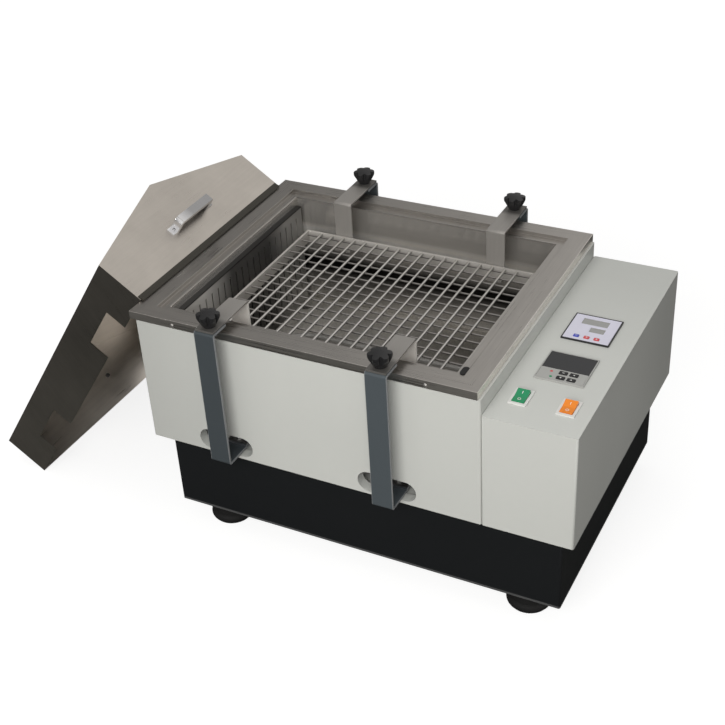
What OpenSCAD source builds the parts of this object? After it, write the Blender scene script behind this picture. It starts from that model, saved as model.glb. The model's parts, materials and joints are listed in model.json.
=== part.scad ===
// Shaking water bath: a stainless tank in a sheet-metal housing, with a reciprocating tray that hangs
// from four outside arms, a control box at the right and a gable lid leaning against the left rim.
// Millimetres, +X right, +Y back, +Z up, table at Z = 0.

/* [Tank and rim] */
// Length of the rim, left to right
rim_l = 560; // [540:1:620]
// Depth of the rim, front to back
rim_w = 475; // [455:1:540]
// Height of the rim above the table
rim_top = 406; // [390:1:430]
// Width of the flat top of the rim at the left and right
rim_flat_x = 32; // [28:0.5:36]
// Width of the flat top of the rim at the front and back
rim_flat_y = 28; // [26:0.5:34]
// Drop from the flat to the ledge that carries the closed lid
rim_step = 6; // [4:0.5:8]
// Width of the ledge
rim_ledge = 14; // [12:0.5:18]
// Height of the lip that turns down round the rim
rim_lip = 13; // [12:0.5:16]
// Thickness of the stainless sheet
steel_t = 1.5; // [1:0.1:2]
// Pitch of the slots in the sheet that stands off the tank's left wall
baffle_pitch = 18; // [16:0.5:24]
// Width of those slots
baffle_slot = 4; // [3:0.5:6]
// Spacing of the two screws in the front and back lip
lip_screw_spacing = 408; // [300:1:460]
// Drop of those screws below the rim's top
lip_screw_drop = 8; // [6:0.5:9]

/* [Housing] */
// Thickness of the painted sheet
wall = 2; // [1.2:0.1:2.4]
// Overhang of the rim past the housing at the left
left_overhang = 8.5; // [6:0.5:12]
// Overhang of the rim past the housing at the front and back
front_overhang = 1.5; // [0.5:0.5:4]
// Distance from the rim's right edge to the seam with the control box
seam_gap = 3.6; // [2:0.1:6]
// Width of the flange turned in along the bottom
bottom_flange = 50; // [30:1:60]
// Width of the flange turned in along the top
top_flange = 17; // [12:1:19]
// Radius of the upright corners
corner_r = 3; // [2.5:0.5:6]
// Length of each obround slot for an arm
slot_l = 94; // [80:1:110]
// Height of each obround slot
slot_h = 34.5; // [28:0.5:40]
// Height of the slot's lower edge above the underside
slot_lift = 5; // [4:0.5:7]

/* [Control box] */
// Width of the control box
control_w = 136; // [126:1:180]
// Drop of its top below the rim
control_drop = 38; // [30:1:60]
// Size of the temperature controller's square bezel
temp_w = 72; // [70:0.5:78]
// Distance of the temperature controller's middle from the front of the box
temp_inset = 258.5; // [250:0.5:290]
// Size of the speed controller's square bezel
speed_w = 72; // [70:0.5:78]
// Distance of the speed controller's middle from the front of the box
speed_inset = 148.5; // [141:0.5:160]
// Spacing of the two rocker switches
rocker_spacing = 68; // [50:0.5:80]
// Distance of the switches from the front of the box
rocker_inset = 61; // [46:0.5:68]
// Width of a rocker
rocker_w = 18; // [16:0.5:22]
// Length of a rocker
rocker_l = 26.5; // [24:0.5:31]
// Tilt of a rocker each way
rocker_tilt = 7; // [4:0.5:8]
// Travel of a key
key_travel = 0.8; // [0.4:0.1:1]

/* [Base and feet] */
// Height of the base
base_h = 135; // [130:1:160]
// Inset of the base below the housing at the left and right
base_inset_x = 22; // [18:0.5:30]
// Inset of the base below the housing at the front and back
base_inset_y = 18; // [10:0.5:24]
// Height of a rubber foot
foot_h = 44; // [36:1:50]
// Widest diameter of a rubber foot
foot_d = 70; // [60:1:74]
// Distance of a foot's axis from the end of the base
foot_inset_x = 63; // [55:1:80]
// Distance of a foot's axis from the front and back of the base
foot_inset_y = 46; // [40:1:60]

/* [Shaker] */
// Stroke of the carriage
stroke = 20; // [16:1:24]
// Place where the carriage stopped, right of mid-stroke
carriage_stop = 7; // [0:0.5:7.5]
// Spacing of the left and right arms
arm_spacing = 272.6; // [260:0.1:290]
// Gap from the rim's front edge out to an arm's outer face
arm_gap = 27.8; // [25:0.1:34]
// Width of an arm
arm_w = 33; // [28:0.5:36]
// Thickness of an arm
arm_t = 3.5; // [3:0.1:4]
// Width of a hanger
hanger_w = 31; // [26:0.5:34]
// Thickness of a hanger
hanger_t = 3; // [2:0.1:3.5]
// Height of a hanger's top above the rim
hanger_rise = 15; // [14:0.5:24]
// Gap from the tank's wall to the inner face of a hanger's leg
leg_gap = 30.7; // [24:0.1:40]
// Distance of a clamp stud from the outer face of its arm
stud_inset = 17.3; // [16:0.1:19]
// Diameter of a clamp stud
stud_d = 8; // [6:0.5:9]
// Diameter across the lobes of a star knob
knob_d = 35; // [32:1:40]
// Height of a star knob
knob_h = 23; // [20:0.5:26]
// Gap between the tray and the tank's end walls at mid-stroke
tray_gap = 28.5; // [22:0.5:40]
// Height of the tray's side bars
bar_h = 20; // [16:1:26]
// Thickness of the tray's side bars
bar_t = 4; // [3:0.5:5]
// Depth of the tray's top below the rim
tray_drop = 46; // [40:1:60]
// Diameter of the upper grid rods, which run front to back
rod_d = 4; // [3:0.1:5]
// Diameter of the lower grid wires, which run left to right
wire_d = 3; // [2.5:0.1:4]
// Pitch of the grid
grid_pitch = 20.7; // [19:0.1:26]

/* [Drive] */
// Diameter of the two guide rods
guide_d = 12; // [10:0.5:13]
// Distance of a guide rod from the bath's middle line
guide_reach = 110; // [90:1:130]
// Length of the connecting rod between its pivots
link_l = 90; // [80:1:100]
// Diameter of the drive shaft and crank pin
shaft_d = 12; // [10:0.5:14]

/* [Lid] */
// Height of the lid's upright walls
lid_wall_h = 82; // [70:1:95]
// Height of the ridge above the lid's lower edge
lid_ridge_h = 136; // [115:1:160]
// Play of the closed lid in the rim, each way
lid_play = 1.25; // [0.5:0.25:2.5]
// Length of lid that reaches past the rim where it leans
lid_past = 4; // [2:0.5:12]
// Length of a notch that clears a hanger
notch_l = 80; // [70:1:90]
// Height of a notch
notch_h = 37; // [30:1:42]
// Length of a bow handle
handle_l = 115; // [95:1:130]
// Stand-off of a bow handle
handle_h = 26; // [22:0.5:27]
// Height of a bow handle above the lid's lower edge
handle_z = 52; // [50:1:58]

/* [Fits] */
// Radial clearance of a running shaft
running = 0.05; // [0.02:0.01:0.1]
// Clearance between pieces that are fastened together
seat = 0.2; // [0.1:0.05:0.3]
// Clearance round a piece that moves in a frame
free = 0.4; // [0.3:0.05:0.5]

/* [Hidden] */
$fn = 64;
touch = 0.01;
cut = 1;

housing_z = foot_h + base_h;
housing_x0 = left_overhang;
housing_x1 = rim_l + seam_gap;
housing_y1 = rim_w / 2 - front_overhang;
housing_y0 = -housing_y1;
housing_top = rim_top - rim_lip - seat;
control_x0 = housing_x1 + 2 * seat;
control_x1 = control_x0 + control_w;
control_x = (control_x0 + control_x1) / 2;
control_top = rim_top - control_drop;
control_flange = 30;
temp_y = housing_y0 + temp_inset;
speed_y = housing_y0 + speed_inset;
rocker_y = housing_y0 + rocker_inset;

base_x0 = housing_x0 + base_inset_x;
base_x1 = control_x1 - base_inset_x;
base_y0 = housing_y0 + base_inset_y;
base_y1 = housing_y1 - base_inset_y;
base_top = housing_z - seat;
base_flange = 14;
shell_z = foot_h + wall + seat;
deck_t = 3;
deck_drop = 22;
deck_top = housing_z - deck_drop;
deck_z = deck_top - deck_t;
deck_leg_z = shell_z + wall + seat;

arm_reach = rim_w / 2 + arm_gap;
carriage_x = rim_l / 2 + carriage_stop;
arm_xs = [carriage_x - arm_spacing / 2, carriage_x + arm_spacing / 2];
slot_xs = [rim_l / 2 - arm_spacing / 2, rim_l / 2 + arm_spacing / 2];
bend_r = 1.5;
sole_lift = 1.5;
sole_z = housing_z + slot_lift + sole_lift;
sole_l = 90;
bolt_inset = 12;
bolt_spacing = 18;
bolt_reach = [arm_reach - sole_l + bolt_inset, arm_reach - sole_l + bolt_inset + bolt_spacing];
bolt_d = 6;
bolt_head_d = 11;
bolt_head_h = 3.5;
bar_lap = 42;
bar_end = arm_reach - sole_l + bar_lap;
cross_bar_z = sole_z + arm_t + touch;
cross_bar_t = 4;
cross_bar_top = cross_bar_z + cross_bar_t;
runner_w = 36;
runner_t = 4;
runner_z = cross_bar_z - runner_t;
runner_lap = 1;
guide_z = (deck_top + runner_z) / 2;
bush_l = 34;
bush_w = 18;
bush_wall = 4.5;
block_l = 18;
block_w = 30;
block_gap = 4;
block_h = runner_z - deck_top - block_gap;
guide_l = arm_spacing + 2 * stroke + bush_l + 3 * block_l;

tank_x = rim_l / 2;
ledge_x = rim_flat_x + rim_ledge;
ledge_y = rim_flat_y + rim_ledge;
ledge_z = rim_top - rim_step;
tank_l = rim_l - 2 * ledge_x;
tank_w = rim_w - 2 * ledge_y;
tank_gap = 8;
tank_floor = cross_bar_top + bolt_head_h + tank_gap + steel_t;
tub_top = ledge_z - steel_t - touch;
flange_inset = 4;
tub_flange = rim_ledge - flange_inset;
plug_l = 18;
plug_w = 8;
plug_lap = 1;
plug_x = rim_l - rim_flat_x - rim_ledge / 2;
plug_inset = 7;
plug_y = -tank_w / 2 + plug_inset;
lip_screw_d = 3;
lip_screw_head = 6.5;

leg_reach = tank_w / 2 - leg_gap;
tab_l = 2 * stud_inset;
hanger_top = rim_top + hanger_rise;
tab_top = hanger_top - hanger_t - touch;
hanger_start = 2;
stud_y = arm_reach - stud_inset;
stud_head_h = 3.5;
stud_head = stud_d + 5;
tray_l = tank_l - 2 * tray_gap;
tray_w = 2 * (leg_reach - bend_r - seat);
tray_top = rim_top - tray_drop;
tray_z = tray_top - bar_h;
hook_z = tray_z - touch - hanger_t;
hook_lap = 8;
hook_l = bend_r + bar_t + hook_lap;
rod_z = tray_top - rod_d / 2;
wire_z = rod_z - rod_d / 2 - wire_d / 2 - running;
rod_margin = 20;
wire_margin = 3;
rod_count = floor((tray_l - 2 * bar_t - 2 * rod_margin) / grid_pitch) + 1;
wire_count = floor((tray_w - 2 * bar_t - 2 * wire_margin) / grid_pitch) + 1;

knob_z = hanger_top + free;
lobe_count = 6;
hub_h = 3;
hub_d = stud_d + 10;
knob_crown = 4;
knob_dome = 1.5 * knob_d;
knob_waist = 0.62 * knob_d;
knob_skirt_h = 0.55 * knob_h;

crank_r = stroke / 2;
crank_x = slot_xs[0] + link_l;
crank_span = crank_x - arm_xs[0];
crank_cos = (crank_span * crank_span + crank_r * crank_r - link_l * link_l) / (2 * crank_span * crank_r);
crank_turn = 180 - acos(crank_cos);
link_swing = asin(crank_r * sin(crank_turn) / link_l);
crank_disc_t = 7;
crank_disc_lift = 6;
crank_disc_z = deck_top + crank_disc_lift;
crank_disc_edge = 9;
crank_disc_d = 2 * crank_r + shaft_d + 2 * crank_disc_edge;
link_t = 5;
link_bar = 9;
link_eye = shaft_d + 8;
link_collar = shaft_d + 5;
link_collar_h = 2;
link_gap = 3;
link_z = runner_z - link_t - link_gap;
motor_w = 84;
motor_d = 72;
gearbox_h = 30;
motor_h = 56;
boss_d = shaft_d + 12;
boss_h = deck_t + 2;
shaft_foot = 5;

bezel_t = 2.8;
bezel_rim = 1.8;
bezel_lap = 4;
recess_z = 0.7;
face_t = 1.6;
face_sink = 0.3;
face_z = control_top + bezel_t - face_t - face_sink;
body_h = 60;
key_r = 1;
key_proud = 0.9;
key_room = 0.4;
temp_key = [8, 6];
temp_key_xs = [-16, -0.5, 14.5];
temp_key_y = -25;
speed_key = [12, 7];
speed_key_xs = [0, 15.5];
speed_key_ys = [-14.4, -27];
window_l = 41;
lamp_d = 4;
lamp_xs = [-17.3, -14.2];
display_t = 1.2;
rocker_frame = 3;
rocker_lap = 1.4;
rocker_flange = 2;
rocker_pivot_drop = 3;
rocker_pivot_z = control_top - rocker_pivot_drop;
rocker_pin_d = 4;
rocker_body_h = 20;
rocker_crest = 8;
rocker_sweep = rocker_crest * sin(rocker_tilt) + free;
rocker_valley = 6.4;
rocker_keel = 6;

port_lift = 40;
back_port_z = housing_z + port_lift;
gland_offset = 30;
gland_x = control_x - gland_offset;
gland_d = 16;
fuse_offset = 20;
fuse_x = control_x + fuse_offset;
fuse_d = 14;

lid_l = rim_l - 2 * rim_flat_x - 2 * lid_play;
lid_w = rim_w - 2 * rim_flat_y - 2 * lid_play;
lid_t = 1.5;
lid_foot_z = seat;
lid_lean = acos((rim_top - lid_foot_z) / (lid_l - lid_past));
lid_foot_x = -(rim_top - lid_foot_z) * tan(lid_lean) - seat / cos(lid_lean);
notch_xs = [lid_l / 2 - arm_spacing / 2, lid_l / 2 + arm_spacing / 2];
roof_slope = atan((lid_ridge_h - lid_wall_h) / (lid_w / 2));
handle_w = 14;
handle_bar = 8;
handle_post = 9;
handle_foot = 22;
handle_foot_t = 3;
handle_span = handle_l - handle_foot;
handle_screw_d = 4;
handle_screw_head = 8;
handle_screw_head_h = 2.4;

heater_d = 10;
heater_gap = 8;
heater_z = tank_floor + heater_d / 2 + heater_gap;
heater_reach = 60;
heater_inset = 40;
heater_x0 = ledge_x + heater_reach + heater_inset;

baffle_gap = 8;
baffle_end = 6;
baffle_drop = 12;
baffle_margin = 14;
baffle_w = tank_w - 2 * baffle_end;
baffle_h = tub_top - baffle_drop - tank_floor - touch;
baffle_slots = floor((baffle_w - 2 * baffle_margin) / baffle_pitch) + 1;
tail_l = 8;
probe_d = 6;
probe_l = 64;
probe_y = -120;
probe_lift = 45;
probe_z = tank_floor + probe_lift;
drain_d = 14;
drain_wall = 2;
drain_inset = 22;
drain_x = ledge_x + drain_inset;
drain_back = 40;
drain_y = tank_w / 2 - drain_back;
drain_gap = 4;
drain_z = tank_floor - steel_t - drain_gap - drain_d / 2;
drain_nut = 24;
drain_nut_h = 6;
spout_l = 16;

set_x0 = lid_foot_x - lid_ridge_h * cos(lid_lean);
origin_x = (set_x0 + control_x1) / 2;

white = [0.80, 0.80, 0.76];
black = [0.06, 0.06, 0.065];
steel = [0.62, 0.61, 0.59];
bright = [0.75, 0.75, 0.76];
slate = [0.26, 0.29, 0.32];
zinc = [0.55, 0.56, 0.58];
lavender = [0.86, 0.85, 0.92];
grey = [0.58, 0.58, 0.57];
blue = [0.25, 0.3, 0.75];
red = [0.85, 0.3, 0.3];
green = [0.1, 0.55, 0.35];
orange = [0.95, 0.5, 0.08];

// Shifts a piece from the rim's left end to the middle of the whole set
module on_table() {
    translate([-origin_x, 0, 0]) children();
}

// Runs a profile drawn as (depth, height) along the length of the bath
module along_x(length) {
    rotate([90, 0, 90]) linear_extrude(length, center = true) children();
}

// Copies a front piece to the front or the rear, at the left or right arm
module at_arm(side, end) {
    translate([arm_xs[end], 0, 0]) mirror([0, side, 0]) children();
}

// Rectangle with round corners
module round_rect(length, width, r) {
    square([length - 2 * r, width], center = true);
    square([length, width - 2 * r], center = true);
    for (x = [-1, 1], y = [-1, 1])
        translate([x * (length / 2 - r), y * (width / 2 - r)]) circle(r);
}

// Round-cornered block between two corners
module round_block(x0, x1, y0, y1, z0, z1, r) {
    translate([(x0 + x1) / 2, (y0 + y1) / 2, z0]) linear_extrude(z1 - z0) round_rect(x1 - x0, y1 - y0, r);
}

// Slot with round ends, drawn about its middle
module obround(length, width) {
    square([length - width, width], center = true);
    for (x = [-1, 1]) translate([x * (length - width) / 2, 0]) circle(width / 2);
}

// Quarter of a ring: the section of a sheet bend
module sheet_bend(t) {
    intersection() {
        difference() {
            circle(bend_r + t);
            circle(bend_r);
        }
        square(bend_r + t);
    }
}

// Open-bottomed sheet box with flanges turned in at the top and bottom
module sheet_box(x0, x1, y0, y1, z0, z1, flange_top, flange_bottom) {
    difference() {
        round_block(x0, x1, y0, y1, z0, z1, corner_r);
        translate([x0 + wall, y0 + wall, z0 + wall])
            cube([x1 - x0 - 2 * wall, y1 - y0 - 2 * wall, z1 - z0 - 2 * wall]);
        translate([x0 + flange_bottom, y0 + flange_bottom, z0 - 1])
            cube([x1 - x0 - 2 * flange_bottom, y1 - y0 - 2 * flange_bottom, wall + 2]);
        if (flange_top > 0)
            translate([x0 + flange_top, y0 + flange_top, z1 - wall - 1])
                cube([x1 - x0 - 2 * flange_top, y1 - y0 - 2 * flange_top, wall + 2]);
    }
}

// Half section of a foot: a bulged pad with a neck under the floor plate
module foot_section() {
    bulge_r = foot_h / 5;
    core = foot_d / 2 - bulge_r;
    square([core, foot_h - touch]);
    translate([core, bulge_r]) circle(bulge_r);
    translate([core - touch, 0]) square([bulge_r / 2, bulge_r]);
    translate([core - touch, bulge_r]) square([bulge_r / 2, foot_h - bulge_r - touch]);
}

module rubber_feet() {
    color(black) on_table()
        for (x = [base_x0 + foot_inset_x, base_x1 - foot_inset_x])
            for (y = [base_y0 + foot_inset_y, base_y1 - foot_inset_y])
                translate([x, y, 0]) rotate_extrude() foot_section();
}

module base_shell() {
    color(black) on_table()
        sheet_box(base_x0, base_x1, base_y0, base_y1, shell_z, base_top, base_flange, base_flange);
}

module floor_plate() {
    color(black) on_table()
        round_block(base_x0, base_x1, base_y0, base_y1, foot_h, foot_h + wall, corner_r);
}

// Deck folded down at the front and back, with a hole for the gearbox boss
module drive_deck() {
    x0 = base_x0 + wall + seat;
    x1 = base_x1 - wall - seat;
    y0 = base_y0 + wall + seat;
    y1 = base_y1 - wall - seat;
    color(zinc) on_table() difference() {
        translate([x0, y0, deck_leg_z]) cube([x1 - x0, y1 - y0, deck_top - deck_leg_z]);
        translate([x0 - cut, y0 + deck_t, deck_leg_z - cut])
            cube([x1 - x0 + 2 * cut, y1 - y0 - 2 * deck_t, deck_z - deck_leg_z + cut]);
        translate([crank_x, 0, deck_z - cut]) cylinder(d = boss_d + 2 * seat, h = deck_t + 2 * cut);
    }
}

module gear_motor() {
    color(zinc) on_table() translate([crank_x, 0, deck_z - touch]) difference() {
        union() {
            translate([-motor_w / 2, -motor_w / 2, -gearbox_h]) cube([motor_w, motor_w, gearbox_h]);
            translate([0, 0, -gearbox_h - motor_h]) cylinder(d = motor_d, h = motor_h + cut);
            translate([0, 0, -cut]) cylinder(d = boss_d, h = boss_h + cut);
        }
        translate([0, 0, -gearbox_h + shaft_foot - free])
            cylinder(d = shaft_d + 2 * running, h = gearbox_h + boss_h);
    }
}

// Shaft, disc and pin in one; the pin ends just under the connecting rod
module crank() {
    shaft_z = deck_z - gearbox_h + shaft_foot;
    color(steel) on_table() translate([crank_x, 0, 0]) {
        translate([0, 0, shaft_z]) cylinder(d = shaft_d, h = crank_disc_z - shaft_z + cut);
        translate([0, 0, crank_disc_z]) cylinder(d = crank_disc_d, h = crank_disc_t);
        rotate(crank_turn) translate([crank_r, 0, crank_disc_z + crank_disc_t - cut])
            cylinder(d = shaft_d, h = link_z - free - crank_disc_z - crank_disc_t + cut);
    }
}

module connecting_rod() {
    color(steel) on_table() translate([arm_xs[0], 0, link_z]) rotate(link_swing) difference() {
        union() {
            translate([0, -link_bar / 2, 0]) cube([link_l, link_bar, link_t]);
            for (x = [0, link_l]) translate([x, 0, 0]) cylinder(d = link_eye, h = link_t);
        }
        for (x = [0, link_l])
            translate([x, 0, -cut]) cylinder(d = shaft_d + 2 * running, h = link_t + 2 * cut);
    }
}

module guide_rods() {
    color(bright) on_table()
        for (y = [-1, 1]) translate([tank_x, y * guide_reach, guide_z])
            rotate([0, 90, 0]) cylinder(d = guide_d, h = guide_l, center = true);
}

module guide_blocks() {
    color(zinc) on_table()
        for (x = [-1, 1], y = [-1, 1])
            translate([tank_x + x * (guide_l - block_l) / 2, y * guide_reach, 0]) difference() {
                translate([-block_l / 2, -block_w / 2, deck_top + touch]) cube([block_l, block_w, block_h]);
                translate([0, 0, guide_z]) rotate([0, 90, 0])
                    cylinder(d = guide_d + 2 * touch, h = 2 * block_l, center = true);
            }
}

// Bushes that hang under the runners and slide on the guide rods
module slide_bushes() {
    neck_h = runner_z - touch - guide_z;
    color(slate) on_table()
        for (x = arm_xs, y = [-1, 1])
            translate([x, y * guide_reach, guide_z]) difference() {
                union() {
                    rotate([0, 90, 0]) cylinder(d = guide_d + 2 * bush_wall, h = bush_l, center = true);
                    translate([-bush_l / 2, -bush_w / 2, 0]) cube([bush_l, bush_w, neck_h]);
                }
                rotate([0, 90, 0]) cylinder(d = guide_d + 2 * running, h = 2 * bush_l, center = true);
            }
}

// Holes for the bolts that join the arms to the cross bars
module arm_bolt_holes() {
    for (x = arm_xs, y = bolt_reach, side = [-1, 1])
        translate([x, side * y, sole_z - cut])
            cylinder(d = bolt_d + 2 * seat, h = cross_bar_top - sole_z + 2 * cut);
}

// Two cross bars on two runners, with the pin that the connecting rod drives
module carriage_frame() {
    color(zinc) on_table() difference() {
        union() {
            for (x = arm_xs) translate([x - arm_w / 2, -bar_end, cross_bar_z])
                cube([arm_w, 2 * bar_end, cross_bar_t]);
            for (y = [-1, 1]) translate([arm_xs[0] - arm_w / 2, y * guide_reach - runner_w / 2, runner_z])
                cube([arm_spacing + arm_w, runner_w, runner_t + runner_lap]);
            translate([arm_xs[0], 0, link_z - free - cut])
                cylinder(d = shaft_d, h = cross_bar_z - link_z + free + 2 * cut);
            translate([arm_xs[0], 0, link_z - free - link_collar_h])
                cylinder(d = link_collar, h = link_collar_h);
        }
        arm_bolt_holes();
    }
}

// Arm: a strip bent in at the bottom, through the slot, and in at the top, under the hanger
module arm(side, end) {
    r = bend_r + arm_t;
    color(slate) on_table() difference() {
        at_arm(side, end) translate([0, -arm_reach, 0]) difference() {
            along_x(arm_w) {
                translate([0, sole_z + r]) square([arm_t, tab_top - sole_z - 2 * r]);
                translate([r, sole_z + r]) rotate(180) sheet_bend(arm_t);
                translate([r, sole_z]) square([sole_l - r, arm_t]);
                translate([r, tab_top - r]) rotate(90) sheet_bend(arm_t);
                translate([r, tab_top - arm_t]) square([tab_l - r, arm_t]);
            }
            translate([0, stud_inset, tab_top - 2 * arm_t]) cylinder(d = stud_d + 2 * seat, h = 3 * arm_t);
        }
        arm_bolt_holes();
    }
}

// Hanger: a strip over the rim, down into the tank and in under the tray
module hanger(side, end) {
    r = bend_r + hanger_t;
    leg = arm_reach - leg_reach;
    color(steel) on_table() at_arm(side, end) translate([0, -arm_reach, 0]) difference() {
        along_x(hanger_w) {
            translate([hanger_start, hanger_top - hanger_t]) square([leg - r - hanger_start, hanger_t]);
            translate([leg - r, hanger_top - r]) sheet_bend(hanger_t);
            translate([leg - hanger_t, hook_z + r]) square([hanger_t, hanger_top - hook_z - 2 * r]);
            translate([leg + bend_r, hook_z + r]) rotate(180) sheet_bend(hanger_t);
            translate([leg + bend_r, hook_z]) square([hook_l - bend_r, hanger_t]);
        }
        translate([0, stud_inset, hanger_top - 2 * hanger_t])
            cylinder(d = stud_d + 2 * seat, h = 3 * hanger_t);
    }
}

// Bolts that join the arms to the cross bars, and studs that clamp the hangers on the arms
module arm_fasteners() {
    stud_top = knob_z + knob_h - knob_crown - 2 * cut;
    color(bright) on_table() {
        for (x = arm_xs, y = bolt_reach, side = [-1, 1]) translate([x, side * y, 0]) {
            translate([0, 0, sole_z]) cylinder(d = bolt_d, h = cross_bar_top - sole_z + cut);
            translate([0, 0, cross_bar_top + touch]) cylinder(d = bolt_head_d, h = bolt_head_h, $fn = 6);
        }
        for (side = [0, 1], end = [0, 1]) at_arm(side, end) translate([0, -stud_y, 0]) {
            translate([0, 0, tab_top - arm_t - touch - stud_head_h]) cylinder(d = stud_head, h = stud_head_h);
            translate([0, 0, tab_top - arm_t - cut])
                cylinder(d = stud_d, h = stud_top - tab_top + arm_t + cut);
        }
    }
}

// Outline of a star knob: a round core with lobes
module star_outline() {
    lobe_r = knob_d / 7;
    circle(knob_d / 3);
    for (k = [0 : lobe_count - 1])
        rotate((k + 0.5) * 360 / lobe_count) translate([knob_d / 2 - lobe_r, 0]) circle(lobe_r);
}

// Star knob: domed lobes that narrow to a hub, with a blind bore for the stud
module knob(side, end) {
    color(black) on_table() at_arm(side, end) translate([0, -stud_y, knob_z]) difference() {
        union() {
            cylinder(d = hub_d, h = hub_h + cut);
            intersection() {
                translate([0, 0, hub_h]) linear_extrude(knob_h) star_outline();
                translate([0, 0, knob_h - knob_dome]) sphere(knob_dome, $fn = 96);
                translate([0, 0, hub_h])
                    cylinder(d1 = knob_waist, d2 = 2 * knob_d - knob_waist, h = 2 * knob_skirt_h);
            }
        }
        translate([0, 0, -cut])
            cylinder(d = stud_d + 2 * running, h = knob_h - knob_crown);
    }
}

module tray_frame() {
    color(steel) on_table() translate([carriage_x, 0, tray_z + bar_h / 2]) difference() {
        cube([tray_l, tray_w, bar_h], center = true);
        cube([tray_l - 2 * bar_t, tray_w - 2 * bar_t, bar_h + cut], center = true);
    }
}

module grid_rods() {
    color(bright) on_table()
        for (k = [0 : rod_count - 1])
            translate([carriage_x + (k - (rod_count - 1) / 2) * grid_pitch, 0, rod_z])
                rotate([90, 0, 0]) cylinder(d = rod_d, h = tray_w - 2 * bar_t - 2 * running, center = true);
}

module grid_wires() {
    color(bright) on_table()
        for (k = [0 : wire_count - 1])
            translate([carriage_x, (k - (wire_count - 1) / 2) * grid_pitch, wire_z])
                rotate([0, 90, 0]) cylinder(d = wire_d, h = tray_l - 2 * bar_t - 2 * running, center = true);
}

// Folded sheet of the whole housing, with the slots for the arms
module housing_sheet() {
    difference() {
        sheet_box(housing_x0, housing_x1, housing_y0, housing_y1, housing_z, housing_top,
            top_flange, bottom_flange);
        for (x = slot_xs) translate([x, 0, housing_z + slot_lift + slot_h / 2])
            rotate([90, 0, 0]) linear_extrude(2 * rim_w, center = true) obround(slot_l, slot_h);
        translate([drain_x, housing_y1, drain_z]) rotate([90, 0, 0])
            cylinder(d = drain_d + 2 * seat, h = 4 * wall, center = true);
    }
}

// Outline, from above, of one panel of the housing between two mitred corners
module panel_outline(length) {
    depth = bottom_flange + cut;
    half = length / 2 - touch;
    polygon([[-half - cut, -cut], [half + cut, -cut], [half - depth, depth], [-half + depth, depth]]);
}

// The part of the housing sheet that lies inside an outline drawn from above
module housing_panel() {
    color(white) on_table() intersection() {
        housing_sheet();
        translate([0, 0, housing_z - cut]) linear_extrude(housing_top - housing_z + 2 * cut) children();
    }
}

module front_panel() {
    housing_panel() translate([(housing_x0 + housing_x1) / 2, housing_y0])
        panel_outline(housing_x1 - housing_x0);
}

module rear_panel() {
    housing_panel() translate([(housing_x0 + housing_x1) / 2, housing_y1]) rotate(180)
        panel_outline(housing_x1 - housing_x0);
}

module side_panels() {
    housing_panel() {
        translate([housing_x0, 0]) rotate(-90) panel_outline(housing_y1 - housing_y0);
        translate([housing_x1, 0]) rotate(90) panel_outline(housing_y1 - housing_y0);
    }
}

module control_box() {
    color(white) on_table() difference() {
        sheet_box(control_x0, control_x1, housing_y0, housing_y1, housing_z, control_top, 0, control_flange);
        translate([control_x, temp_y, control_top])
            cube([temp_w - 2 * bezel_lap, temp_w - 2 * bezel_lap, 4 * wall], center = true);
        translate([control_x, speed_y, control_top])
            cube([speed_w - 2 * bezel_lap, speed_w - 2 * bezel_lap, 4 * wall], center = true);
        for (x = [-1, 1]) translate([control_x + x * rocker_spacing / 2, rocker_y, control_top])
            cube([rocker_w + 2 * rocker_frame, rocker_l + 2 * rocker_frame + 2 * rocker_sweep, 4 * wall],
                center = true);
        translate([gland_x, housing_y1, back_port_z]) rotate([90, 0, 0])
            cylinder(d = gland_d + 2 * seat, h = 4 * wall, center = true);
        translate([fuse_x, housing_y1, back_port_z]) rotate([90, 0, 0])
            cylinder(d = fuse_d + 2 * seat, h = 4 * wall, center = true);
    }
}

module tank_tub() {
    color(steel) on_table() translate([tank_x, 0, 0]) difference() {
        union() {
            translate([-tank_l / 2 - steel_t, -tank_w / 2 - steel_t, tank_floor - steel_t])
                cube([tank_l + 2 * steel_t, tank_w + 2 * steel_t, tub_top - tank_floor + steel_t]);
            translate([-tank_l / 2 - tub_flange, -tank_w / 2 - tub_flange, tub_top - steel_t])
                cube([tank_l + 2 * tub_flange, tank_w + 2 * tub_flange, steel_t]);
        }
        translate([-tank_l / 2, -tank_w / 2, tank_floor]) cube([tank_l, tank_w, rim_top]);
        for (y = [-1, 1]) translate([tank_l / 2, y * heater_reach, heater_z]) rotate([0, 90, 0])
            cylinder(d = heater_d + 2 * seat, h = 6 * steel_t, center = true);
        translate([tank_l / 2, probe_y, probe_z]) rotate([0, 90, 0])
            cylinder(d = probe_d + 2 * seat, h = 6 * steel_t, center = true);
        translate([drain_x - tank_x, drain_y, tank_floor - 2 * steel_t])
            cylinder(d = drain_d + 2 * seat, h = 4 * steel_t);
        translate([plug_x - tank_x, plug_y, tub_top - 2 * steel_t]) linear_extrude(4 * steel_t)
            rotate(90) obround(plug_l + 2 * seat, plug_w + 2 * seat);
    }
}

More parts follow.
